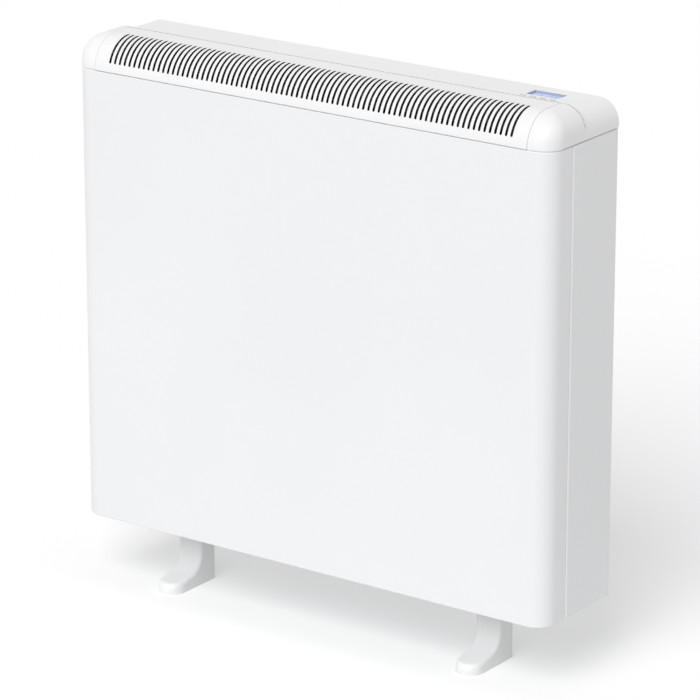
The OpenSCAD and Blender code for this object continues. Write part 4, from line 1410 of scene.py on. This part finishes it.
    def deck(self) -> Workpiece:
        """Builds the deck: a level face, swept down at both ends, with its walls and openings.

        Returns:
            The deck's workpiece.
        """
        c = self.casing
        straight, front, turn_z = c.half_w - self.deck_r, c.groove_y + self.groove, self.deck_z - self.deck_r
        deck = Workpiece.sheet("top_cover_skin", (-straight, front, self.deck_z),
                               (straight, c.rear_y, self.deck_z))
        for side in (-1, 1):
            deck.edges_at(lambda p: near(p.x, side * straight))
            deck.spin(side * QUARTER, (side * straight, 0, turn_z), (0, 1, 0), 20)
            deck.extrude(z=c.seam_z + self.nose.seam - turn_z)
        deck.edges_at(lambda p: near(p.y, c.rear_y)).fill()
        for side in (-1, 1):
            deck.edges_at(lambda p: near(p.y, front) and side * p.x > straight - NEAR).extrude(y=-self.groove)
        deck.edges_at(lambda p: near(p.y, front) and near(p.z, self.deck_z)).extrude(z=-self.lip)
        deck.outwards().facing(lambda middle, normal: normal.z > 0 or abs(middle.x) > straight)
        deck.wall(self.wall)
        for tool in self.controls.tools():
            deck.subtract(tool)
        return deck


@dataclass
class OutletGrille:
    """Slotted quarter-round nose: one slot's cell is modelled flat, wrapped round the nose and repeated.

    Attributes:
        casing: Planes of the casing.
        nose: Shape of the nose.
        wall: Thickness of the moulding.
        count: Number of slots.
        pitch: Pitch of the slots.
        slot_w: Width of a slot.
        slot_r: Rounding of a slot's outer edge.
        low: Angle of a slot's lower end round the nose.
        high: Angle of its upper end.
        tail: Height of the wall behind the nose.
        tail_r: Rounding of that wall's upper edge.
        bends: Number of bends round the nose.
    """

    casing: Casing
    nose: Nose
    wall: float = 2.2 * MM
    count: int = 80
    pitch: float = 7.6 * MM
    slot_w: float = 3.4 * MM
    slot_r: float = 0.3 * MM
    low: float = math.radians(19.5)
    high: float = math.radians(87.5)
    tail: float = 15 * MM
    tail_r: float = 0.8 * MM
    bends: int = 22

    def build(self) -> None:
        """Builds the grille and fits it."""
        c, nose = self.casing, self.nose
        grille = self.cell()
        self.wrap(grille)
        grille.everything().move(x=-(self.count - 1) / 2 * self.pitch).repeat(self.count, self.pitch)
        reach = self.count * self.pitch / 2
        for side in (-1, 1):
            grille.edges_at(lambda p: near(p.x, side * reach)).extrude(x=side * (c.grille_x - reach)).fill()
        front = c.front_y + nose.seat_in
        lip = Workpiece.block("outlet_grille_lip", (-c.grille_x, front, c.seam_z),
                              (c.grille_x, front + nose.seat_t, c.seam_z + nose.seat_h))
        # Slot walls and the faces inside the duct take the near-black painted shade, as the white moulding
        # there lies in shade.
        grille.outwards().join(lip).smooth(38).paint(Finishes.cover, Finishes.inner_black)
        grille.second_finish(self.in_painted_shade).fit("casing", "cover_white", "outlet_grille")

    def cell(self) -> Workpiece:
        """Models one slot's cell flat, the nose's arc laid out along -Y.

        Returns:
            The flat cell, open at its two sides.
        """
        c, half, slot = self.casing, self.pitch / 2, self.slot_w / 2
        axis_y, top, radius = self.nose.axis_y, c.top_z, self.nose.radius
        reach, inner_y = radius * (QUARTER - self.nose.first), c.groove_y - self.wall
        cell = Workpiece.block("outlet_grille_skin", (-half, axis_y - reach, top - self.wall),
                               (half, c.groove_y, top))
        for bend_y in (inner_y, *(axis_y - reach * k / self.bends for k in range(self.bends))):
            cell.cut((0, bend_y, 0), (0, 1, 0))
        cell.faces(lambda middle, normal: normal.z < -0.9 and middle.y > inner_y)
        cell.extrude(z=self.wall - self.tail)
        cell.edges_at(lambda p: near(p.y, c.groove_y) and near(p.z, top)).bevel(self.tail_r, 3)
        start, end = (axis_y - radius * (QUARTER - angle) for angle in (self.high, self.low))
        tool = Workpiece.disc("slot_tool", (0, end, top - 2 * self.wall), slot, 16)
        tool.verts(lambda p: p.y > end).move(y=start - end)
        cell.subtract(tool.everything().extrude(z=3 * self.wall).outwards())
        cell.edges_at(lambda p: near(p.z, top) and abs(p.x) < slot + NEAR
                      and end - slot - NEAR < p.y < start + slot + NEAR
                      and math.hypot(p.x, max(0.0, end - p.y, p.y - start)) > slot * 0.97)
        cell.bevel(self.slot_r, 2)
        return cell.faces(lambda middle, normal: near(abs(middle.x), half)).drop()

    def wrap(self, cell: Workpiece) -> None:
        """Bends the flat cell round the nose's axis.

        Args:
            cell: The flat cell.
        """
        axis_y, axis_z, radius = self.nose.axis_y, self.casing.seam_z, self.nose.radius
        for vert in cell.piece.data.vertices:
            along = axis_y - vert.co.y
            if along > 0:
                reach, angle = vert.co.z - axis_z, along / radius
                vert.co.y = axis_y - reach * math.sin(angle)
                vert.co.z = axis_z + reach * math.cos(angle)
        cell.piece.data.update()

    def in_painted_shade(self, middle: Vector, normal: Vector) -> bool:
        """Tells whether a face looks into the warm air duct or lines a slot, the faces that take the near-black
        painted shade.

        Args:
            middle: The face's middle.
            normal: Its normal.

        Returns:
            Whether it does.
        """
        if middle.y > self.nose.axis_y:
            return normal.z < -0.5 or abs(normal.y) > 0.9
        out = Vector((0, middle.y - self.nose.axis_y, middle.z - self.casing.seam_z))
        deep = self.nose.radius - out.length > self.slot_r + 0.05 * MM
        return deep and normal.dot(out.normalized()) < 0.5 and abs(middle.x) < self.casing.grille_x - NEAR


# ---------------------------------------------------------------- controls


@dataclass
class Digits:
    """Seven-segment digits and a row of small marks on the display's glass.

    Attributes:
        centre: Middle of the display.
        face_z: Upper face of the glass.
        text: The digits.
        tall: Height of a digit.
        wide: Its width.
        stroke: Width of a segment.
        shorten: How much shorter a segment is than its side of the digit, in strokes.
        pitch: Distance between digits.
        places: Places of the digits, in pitches from the display's middle.
        colon: Place of the colon, in the same way.
        lift: From the display's middle to the digits' middle.
        dot: Half the size of the colon's dots.
        dot_lift: From the digits' middle to a dot.
        mark_count: Number of marks.
        mark_pitch: Distance between marks.
        mark_drop: From the display's middle to the marks.
        mark_half: Half the size of a mark.
        thick: Thickness of all of them.
        round_r: Rounding of their edges.
    """

    centre: Vector
    face_z: float
    text: str = "2130"
    tall: float = 7.5 * MM
    wide: float = 4.2 * MM
    stroke: float = 0.8 * MM
    shorten: float = 1.3
    pitch: float = 6 * MM
    places: tuple[float, ...] = (-1.8, -0.8, 0.6, 1.6)
    colon: float = -0.1
    lift: float = 1.5 * MM
    dot: float = 0.45 * MM
    dot_lift: float = 1.4 * MM
    mark_count: int = 7
    mark_pitch: float = 4.6 * MM
    mark_drop: float = 6.5 * MM
    mark_half: tuple[float, float] = (1.1 * MM, 0.35 * MM)
    thick: float = 0.03 * MM
    round_r: float = 0.01 * MM

    def bars(self) -> list[tuple[float, float, float, float]]:
        """Lays out the segments, the dots and the marks.

        Returns:
            Middle and half size of each.
        """
        middle_y, side, rise = self.centre.y + self.lift, self.wide / 2, self.tall / 4
        level = ((self.wide - self.stroke * self.shorten) / 2, self.stroke / 2)
        upright = (self.stroke / 2, (self.tall / 2 - self.stroke * self.shorten) / 2)
        spans = {"a": (0, 2 * rise, *level), "g": (0, 0, *level), "d": (0, -2 * rise, *level),
                 "b": (side, rise, *upright), "c": (side, -rise, *upright),
                 "f": (-side, rise, *upright), "e": (-side, -rise, *upright)}
        lit = {"0": "abcdef", "1": "bc", "2": "abged", "3": "abgcd"}
        bars = []
        for digit, place in zip(self.text, self.places):
            for dx, dy, half_x, half_y in (spans[key] for key in lit[digit]):
                bars.append((self.centre.x + place * self.pitch + dx, middle_y + dy, half_x, half_y))
        bars += [(self.centre.x + self.colon * self.pitch, middle_y + dy, self.dot, self.dot)
                 for dy in (-self.dot_lift, self.dot_lift)]
        bars += [(self.centre.x + (k - (self.mark_count - 1) / 2) * self.mark_pitch,
                  self.centre.y - self.mark_drop, *self.mark_half) for k in range(self.mark_count)]
        return bars

    def build(self) -> None:
        """Builds the bars as one piece."""
        first, *rest = (Workpiece.block(f"display_bar_{k}", (x - half_x, y - half_y, self.face_z - self.thick),
                                        (x + half_x, y + half_y, self.face_z))
                        for k, (x, y, half_x, half_y) in enumerate(self.bars()))
        marks = Workpiece(first.join(*rest).piece, "display_digits")
        marks.soften(self.round_r, 1).paint(Finishes.segments).fit("casing", "display")


@dataclass
class Controls:
    """Display in its well and the row of four buttons.

    Attributes:
        deck_z: Height of the deck.
        wall: Thickness of the cover.
        names: The buttons' nodes, from left to right.
        rim_r: Rounding of the openings' rims.
        gap: Clearance round a button.
        surround: Thickness of the surround that lines the well, bluish-grey as painted shade for the well's
            shaded walls.
        margin: From the window's edge to the opening's.
        corner_r: Radius of the opening's corners.
        tool_below: How far below the deck the tools that cut the cover start.
        tool_above: How far above it they end.
        flare_steps: Steps round the rim of the well's tool.
        ring_gap: Gap between the surround and the opening.
        ring_low: From the window's lower face up to the surround.
        ring_high: From the deck down to the surround.
        window_set: From the window's upper face up to its node's.
        window_r: Rounding of the window's edges.
        glass_set: From the glass's upper face up to its node's.
        glass_r: Rounding of the glass's edges.
        flange_out: How far a button's flange stands out.
        flange_t: Thickness of that flange.
        flange_r: Rounding of its edges.
        cap_in: How far a button's cap reaches into the flange.
        cap_r: Rounding of the cap's upper edge.
        stem_r: Radius of a button's stem.
        dish: Depth of the dish in a button's face.
        dish_in: Inset of that dish.
        places: Lowest and highest corner of each button.
        low: Lowest corner of the window.
        high: Its highest corner.
    """

    deck_z: float
    wall: float
    names: tuple[str, ...] = ("mode_button", "minus_button", "plus_button", "enter_button")
    rim_r: float = 0.4 * MM
    gap: float = 0.3 * MM
    surround: float = 0.5 * MM
    margin: float = 1.4 * MM
    corner_r: float = 1.2 * MM
    tool_below: float = 6 * MM
    tool_above: float = 2 * MM
    flare_steps: int = 3
    ring_gap: float = 0.02 * MM
    ring_low: float = 0.1 * MM
    ring_high: float = 0.5 * MM
    window_set: float = 0.2 * MM
    window_r: float = 0.15 * MM
    glass_set: float = 0.05 * MM
    glass_r: float = 0.4 * MM
    flange_out: float = 1.2 * MM
    flange_t: float = 1.2 * MM
    flange_r: float = 0.2 * MM
    cap_in: float = 0.1 * MM
    cap_r: float = 0.3 * MM
    stem_r: float = 1.6 * MM
    dish: float = 0.15 * MM
    dish_in: float = 0.75 * MM
    places: list[tuple[Vector, Vector]] = field(init=False)
    low: Vector = field(init=False)
    high: Vector = field(init=False)

    def __post_init__(self) -> None:
        """Reads where the buttons and the window are."""
        self.places = [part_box(name) for name in self.names]
        self.low, self.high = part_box("display_lens")

    def opening(self, name: str, low_z: float, high_z: float, shrink: float = 0) -> Workpiece:
        """Makes a block with rounded corners as wide as the display's opening.

        Args:
            name: The piece's name.
            low_z: Its lower face.
            high_z: Its upper face.
            shrink: How much smaller it is on every side.

        Returns:
            The block's workpiece.
        """
        inset = self.margin + shrink
        block = Workpiece.block(name, (self.low.x + inset, self.low.y + inset, low_z),
                                (self.high.x - inset, self.high.y - inset, high_z))
        return block.edges(lambda a, b: near(a.x, b.x) and near(a.y, b.y)).bevel(self.corner_r, 4)

    def tools(self) -> list[Workpiece]:
        """Makes the tools that cut the cover: the display's, flared in a small quarter round, and the buttons'.

        Returns:
            The tools' workpieces.
        """
        below, above = self.deck_z - self.tool_below, self.deck_z + self.tool_above
        top, middle = self.deck_z - self.rim_r, (self.low + self.high) / 2
        well = self.opening("well_tool", below, top)
        for k in range(self.flare_steps):
            before, angle = (QUARTER * step / self.flare_steps for step in (k, k + 1))
            widen = 2 * self.rim_r * (math.cos(before) - math.cos(angle))
            size = Vector(well.piece.dimensions)
            well.faces(lambda centre, normal: near(centre.z, top) and normal.z > 0.9)
            well.extrude(z=self.rim_r * (math.sin(angle) - math.sin(before)))
            top = self.deck_z - self.rim_r * (1 - math.sin(angle))
            well.spread(1 + widen / size.x, 1 + widen / size.y, 1, (middle.x, middle.y, top))
        well.faces(lambda centre, normal: near(centre.z, top) and normal.z > 0.9).extrude(z=above - top)
        return [well] + [self.pill(f"button_tool_{index}", index, self.gap, below, above)
                         for index in range(len(self.names))]

    def pill(self, name: str, index: int, grow: float, low_z: float, high_z: float) -> Workpiece:
        """Makes a pill-shaped prism round a button.

        Args:
            name: The piece's name.
            index: Which button.
            grow: How much larger it is than the button on every side.
            low_z: Its lower face.
            high_z: Its upper face.

        Returns:
            The prism's workpiece.
        """
        low, high = self.places[index]
        width, depth = high.x - low.x - 2 * self.flange_out, high.y - low.y - 2 * self.flange_out
        centre, half = (low + high) / 2, (width - depth) / 2
        disc = Workpiece.disc(name, (centre.x, centre.y, low_z), depth / 2 + grow, 24)
        disc.verts(lambda p: p.x > centre.x).move(x=half)
        disc.verts(lambda p: p.x < centre.x).move(x=-half)
        return disc.everything().extrude(z=high_z - low_z).outwards()

    def build(self) -> None:
        """Builds the surround, the window, the glass with its digits and the four buttons."""
        self.display()
        for index, name in enumerate(self.names):
            self.button(index, name)

    def display(self) -> None:
        """Builds the display's pieces from the bottom up."""
        window = self.opening("display_window", self.low.z, self.high.z - self.window_set, -self.margin)
        # The ring's bluish-grey is painted shade on the well's walls.
        ring = self.opening("display_surround_ring", self.low.z + self.ring_low,
                            self.deck_z - self.ring_high, self.ring_gap)
        ring.faces(lambda middle, normal: abs(normal.z) > 0.9).drop()
        ring.outwards().wall(self.surround).smooth().paint(Finishes.well).fit("casing", "lens")
        window.soften(self.window_r).smooth().paint(Finishes.lens).fit("casing", "lens", "display_lens")
        glass_low, glass_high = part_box("display_module")
        glass = Workpiece.block("display_glass_body", glass_low, glass_high - Vector((0, 0, self.glass_set)))
        glass.soften(self.glass_r).smooth().paint(Finishes.display).fit("casing", "display", "display_module")
        Digits((self.low + self.high) / 2, glass_high.z).build()

    def button(self, index: int, name: str) -> None:
        """Builds one button: flanged below the deck, its top edge rounded and its face dished.

        Args:
            index: Which button.
            name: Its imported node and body.
        """
        low, high = self.places[index]
        centre, flange_z = (low + high) / 2, self.deck_z - self.wall - self.gap
        cap = self.pill(f"{name}_cap", index, 0, flange_z - self.cap_in, high.z)
        cap.faces(lambda middle, normal: normal.z > 0.9).inset(self.dish_in).move(z=-self.dish)
        cap.edges_at(lambda p: near(p.z, high.z)).bevel(self.cap_r, 3)
        collar = self.pill(f"{name}_collar", index, self.flange_out, flange_z - self.flange_t, flange_z)
        stem = Workpiece.disc(f"{name}_stem", (centre.x, centre.y, low.z), self.stem_r, 16)
        stem.everything().extrude(z=flange_z - self.flange_t - low.z).outwards()
        cap.join(collar.soften(self.flange_r), stem)
        cap.smooth().paint(Finishes.button).fit(name, "button_grey", name)


# ---------------------------------------------------------------- feet


@dataclass
class Foot:
    """Moulded boot: straight neck, concave front and round domed toe, on a thin base rim.

    Attributes:
        name: The foot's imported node.
        width: Width of the foot.
        length: From the tip of the toe to the heel.
        neck: Thickness of the neck.
        toe_h: Height where the neck's curve runs out.
        instep_r: Radius of that curve.
        edge_r: Rounding of the flanks' edges.
        heel_r: Rounding of the heel's edges.
        toe_round: Horizontal reach of the toe's rounding.
        toe_fall: From the end of the neck's curve to the top of that rounding.
        rim_h: Height of the base rim.
        rim_out: How far the rim stands out.
        rim_r: Rounding of the rim's edges.
        across_steps: Rows of the skin across the foot, less one.
        instep_steps: Steps round the instep.
        toe_steps: Steps round the toe's edge.
        middle_x: Middle plane of the foot.
        toe_y: Tip of the toe.
        top_z: Top of the neck.
    """

    name: str
    width: float = 37 * MM
    length: float = 84.5 * MM
    neck: float = 28 * MM
    toe_h: float = 17 * MM
    instep_r: float = 26 * MM
    edge_r: float = 4 * MM
    heel_r: float = 2 * MM
    toe_round: float = 8 * MM
    toe_fall: float = 3 * MM
    rim_h: float = 2.2 * MM
    rim_out: float = 0.5 * MM
    rim_r: float = 0.5 * MM
    across_steps: int = 28
    instep_steps: int = 20
    toe_steps: int = 14
    middle_x: float = field(init=False)
    toe_y: float = field(init=False)
    top_z: float = field(init=False)

    def __post_init__(self) -> None:
        """Reads where the foot stands."""
        low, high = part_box(self.name)
        self.middle_x, self.toe_y, self.top_z = (low.x + high.x) / 2, low.y + self.rim_out, high.z

    @property
    def half(self) -> float:
        """Half the foot's width."""
        return self.width / 2

    @property
    def heel(self) -> float:
        """Depth of the heel."""
        return self.toe_y + self.length

    def section(self, x: float) -> list[Point]:
        """Traces the foot's outline from the neck down its front to the toe.

        Args:
            x: Distance from the foot's middle plane.

        Returns:
            Points from the heel's top, over the neck and the instep, to the toe's base.
        """
        over = max(0.0, abs(x) - (self.half - self.edge_r))
        ease = self.edge_r - math.sqrt(self.edge_r ** 2 - over ** 2)
        tip = self.toe_y + self.half - math.sqrt(max(0.0, self.half ** 2 - x * x))
        neck_y, bend = self.heel - self.neck, self.instep_r + ease
        arc_y, arc_z = neck_y - self.instep_r, self.toe_h + self.instep_r
        rise = self.toe_h - self.toe_fall - ease - self.rim_h
        points = [(self.heel, self.top_z), (neck_y + ease, self.top_z),
                  (neck_y + ease, (self.top_z + arc_z) / 2)]
        points += [(arc_y + bend * math.cos(a), arc_z - bend * math.sin(a))
                   for a in (QUARTER * k / self.instep_steps for k in range(self.instep_steps + 1))]
        points += [(tip + self.toe_round * (1 - math.sin(a)), self.rim_h + rise * math.cos(a))
                   for a in (QUARTER * k / self.toe_steps for k in range(self.toe_steps + 1))]
        return [(self.middle_x + x, y, z) for y, z in points]

    def build(self) -> None:
        """Builds the boot and its rim."""
        across = [self.half * math.sin(-QUARTER + HALF * k / self.across_steps)
                  for k in range(self.across_steps + 1)]
        boot = Workpiece.skin(f"{self.name}_boot", [self.section(x) for x in across])
        boot.join(Workpiece.skin(f"{self.name}_back", [
            [(self.middle_x + x, self.heel, z) for x in across] for z in (self.top_z, self.rim_h)]))
        boot.everything().weld()
        for side in (-1, 1):
            boot.edges_at(lambda p: near(p.x, self.middle_x + side * self.half)).fill()
        boot.edges_at(lambda p: near(p.z, self.rim_h)).fill().outwards()
        boot.edges(lambda a, b: near(a.y, self.heel) and near(b.y, self.heel) and near(a.x, b.x))
        boot.bevel(self.heel_r, 4).join(self.rim())
        boot.smooth(40).paint(Finishes.foot).fit("casing", "foot_white", self.name)

    def rim(self) -> Workpiece:
        """Builds the base rim: half a disc, and a block behind it up to the heel.

        Returns:
            The rim's workpiece.
        """
        x, y, radius = self.middle_x, self.toe_y + self.half, self.half + self.rim_out
        rim = Workpiece.disc(f"{self.name}_rim", (x, y, 0), radius, 64)
        rim.verts(lambda p: p.y > y).spread(1, 0, 1, (x, y, 0)).everything().extrude(z=self.rim_h).outwards()
        rim.join(Workpiece.block(f"{self.name}_rim_back", (x - radius, y, 0),
                                 (x + radius, self.heel + self.rim_out, self.rim_h)))
        return rim.soften(self.rim_r, 3, 60)


# ---------------------------------------------------------------- fittings and inner work


@dataclass
class Fittings:
    """Small metal and moulded fittings seen from behind and below, and everything inside.

    Attributes:
        softened: Nodes that get a softened copy, with their finish, slot and edge radius.
        plain: Nodes that keep their mesh and take a finish.
    """

    softened: tuple[tuple[str, Finish, str, float], ...] = (
        ("rear_panel", Finishes.galvanised, "galvanised", 0.5 * MM),
        ("base_tray", Finishes.galvanised, "galvanised", 0.3 * MM),
        ("rear_panel_screws", Finishes.zinc, "zinc_screw", 0.12 * MM),
        ("front_panel_screws", Finishes.zinc, "zinc_screw", 0.12 * MM),
        ("cover_screws", Finishes.zinc, "zinc_screw", 0.12 * MM),
        ("cable_gland", Finishes.gland, "gland_black", 0.4 * MM),
        ("earth_stud", Finishes.brass, "brass", 0.2 * MM),
    )
    plain: tuple[tuple[Finish, tuple[str, ...]], ...] = (
        (Finishes.galvanised, ("chassis_rails", "core_tray", "core_left_wall", "core_right_wall",
                               "core_rear_wall", "electronics_plate")),
        # The core covers' near-black is partly painted shade, seen through the slots.
        (Finishes.duct_black_and_shade, ("core_front_cover", "core_top_cover")),
        (Finishes.zinc, ("foot_screws", "board_screws", "core_cover_screws")),
        (Finishes.silicone, ("keypad_mat",)),
        (Finishes.board, ("control_board", "power_board")),
        (Finishes.ribbon, ("ribbon_cable",)),
        (Finishes.cream, ("cord_clamp", "terminal_block", "connector_strip", "room_sensor", "board_pillars")),
        (Finishes.insulation, ("base_insulation", "rear_insulation", "front_insulation",
                               "left_insulation", "right_insulation", "top_insulation")),
        (Finishes.brick, ("front_bricks", "rear_bricks")),
        (Finishes.sheath, ("upper_element", "middle_element", "lower_element", "boost_element",
                           "core_probe")),
        (Finishes.ceramic, ("element_bushes",)),
        (Finishes.sleeve, ("element_leads",)),
        (Finishes.phenolic, ("core_cutout", "room_cutout")),
    )

    def build(self) -> None:
        """Softens the outer fittings and gives every inner node its finish."""
        for node, finish, slot, radius in self.softened:
            piece = Workpiece.of_node(f"{node}_finished", node)
            piece.soften(radius).smooth(40).paint(finish).fit("casing", slot, node)
        for finish, nodes in self.plain:
            for node in nodes:
                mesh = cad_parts[node].data
                mesh.materials.clear()
                mesh.materials.append(finish.material())
                log.info("%s: %s", node, finish.name)


# ---------------------------------------------------------------- studio


@dataclass(frozen=True)
class Lamp:
    """A distant soft lamp.

    Attributes:
        name: The lamp's name.
        toward: Direction from the object to the lamp.
        power: Its irradiance.
        spread: Its width in the sky, in degrees.
        distance: How far off its object stands, which changes no light.
    """

    name: str
    toward: Point
    power: float
    spread: float
    distance: float = 4

    def build(self) -> None:
        """Adds the lamp."""
        light = bpy.data.lights.new(self.name, "SUN")
        light.energy, light.angle = self.power, math.radians(self.spread)
        lamp = linked(self.name, light)
        lamp.rotation_mode = "QUATERNION"
        lamp.rotation_quaternion = (-Vector(self.toward)).to_track_quat("-Z", "Y")
        lamp.location = Vector(self.toward) * self.distance


@dataclass
class Studio:
    """Pale floor, soft light and the camera at the photograph's viewing angle.

    Attributes:
        eye: The camera's place.
        yaw: Its turn about the vertical, in degrees.
        pitch: Its dip below level, in degrees.
        lens: Focal length on the film.
        film: Width of the film.
        sky: Strength of the light from all round.
        floor_size: Side of the floor.
        lamps: The lamps.
    """

    eye: Point = (2.8534, -3.9894, 1.9827)
    yaw: float = 35.41
    pitch: float = 18.30
    lens: float = 212.35
    film: float = 36
    sky: float = 0.51
    floor_size: float = 24
    lamps: tuple[Lamp, ...] = (Lamp("key_light", (0.10, -0.70, 0.67), 1.80, 40),
                               Lamp("side_light", (0.85, 0.30, 0.45), 0.05, 60))

    def build(self) -> None:
        """Builds the floor, the world, the lamps and the camera."""
        self.floor()
        self.world()
        for lamp in self.lamps:
            lamp.build()
        self.camera()
        bpy.context.scene.view_settings.view_transform = "Standard"

    def floor(self) -> None:
        """Builds the floor as stage."""
        lone()
        bpy.ops.mesh.primitive_plane_add(size=self.floor_size, location=(0, 0, 0))
        floor = bpy.context.object
        floor.name = "studio_floor"
        floor.data.materials.append(Finishes.floor.material())

    def world(self) -> None:
        """Lights the object softly from all round, and shows white to the camera."""
        world = bpy.data.worlds.new("studio_world")
        bpy.context.scene.world = world
        world.use_nodes = True
        nodes, links = world.node_tree.nodes, world.node_tree.links
        soft = next(n for n in nodes if n.type == "BACKGROUND")
        white, mix = nodes.new("ShaderNodeBackground"), nodes.new("ShaderNodeMixShader")
        for light, strength in ((soft, self.sky), (white, 1)):
            light.inputs["Color"].default_value = (1, 1, 1, 1)
            light.inputs["Strength"].default_value = strength
        links.new(seen_directly(world.node_tree), mix.inputs["Fac"])
        links.new(soft.outputs[0], mix.inputs[1])
        links.new(white.outputs[0], mix.inputs[2])
        out = next(n for n in nodes if n.type == "OUTPUT_WORLD")
        links.new(mix.outputs[0], out.inputs["Surface"])

    def camera(self) -> None:
        """Sets the camera that the photograph was taken with."""
        data = bpy.data.cameras.new("camera")
        data.lens, data.sensor_width, data.sensor_fit = self.lens, self.film, "HORIZONTAL"
        data.clip_end = 100
        camera = linked("camera", data)
        camera.location = self.eye
        camera.rotation_euler = (math.radians(90 - self.pitch), 0, math.radians(self.yaw))
        bpy.context.scene.camera = camera


def main() -> None:
    """Builds every sub-assembly in order."""
    logging.basicConfig(level=logging.INFO, format="%(name)s: %(message)s")
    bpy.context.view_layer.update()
    casing = Casing.read()
    Studio().build()
    nose = Nose(casing)
    controls = Controls(casing.top_z - TopCover.step, TopCover.wall)
    CasingPanels(casing).build()
    TopCover(casing, nose, controls).build()
    OutletGrille(casing, nose).build()
    controls.build()
    for name in ("left_foot", "right_foot"):
        Foot(name).build()
    Fittings().build()


if __name__ == "__main__":
    main()
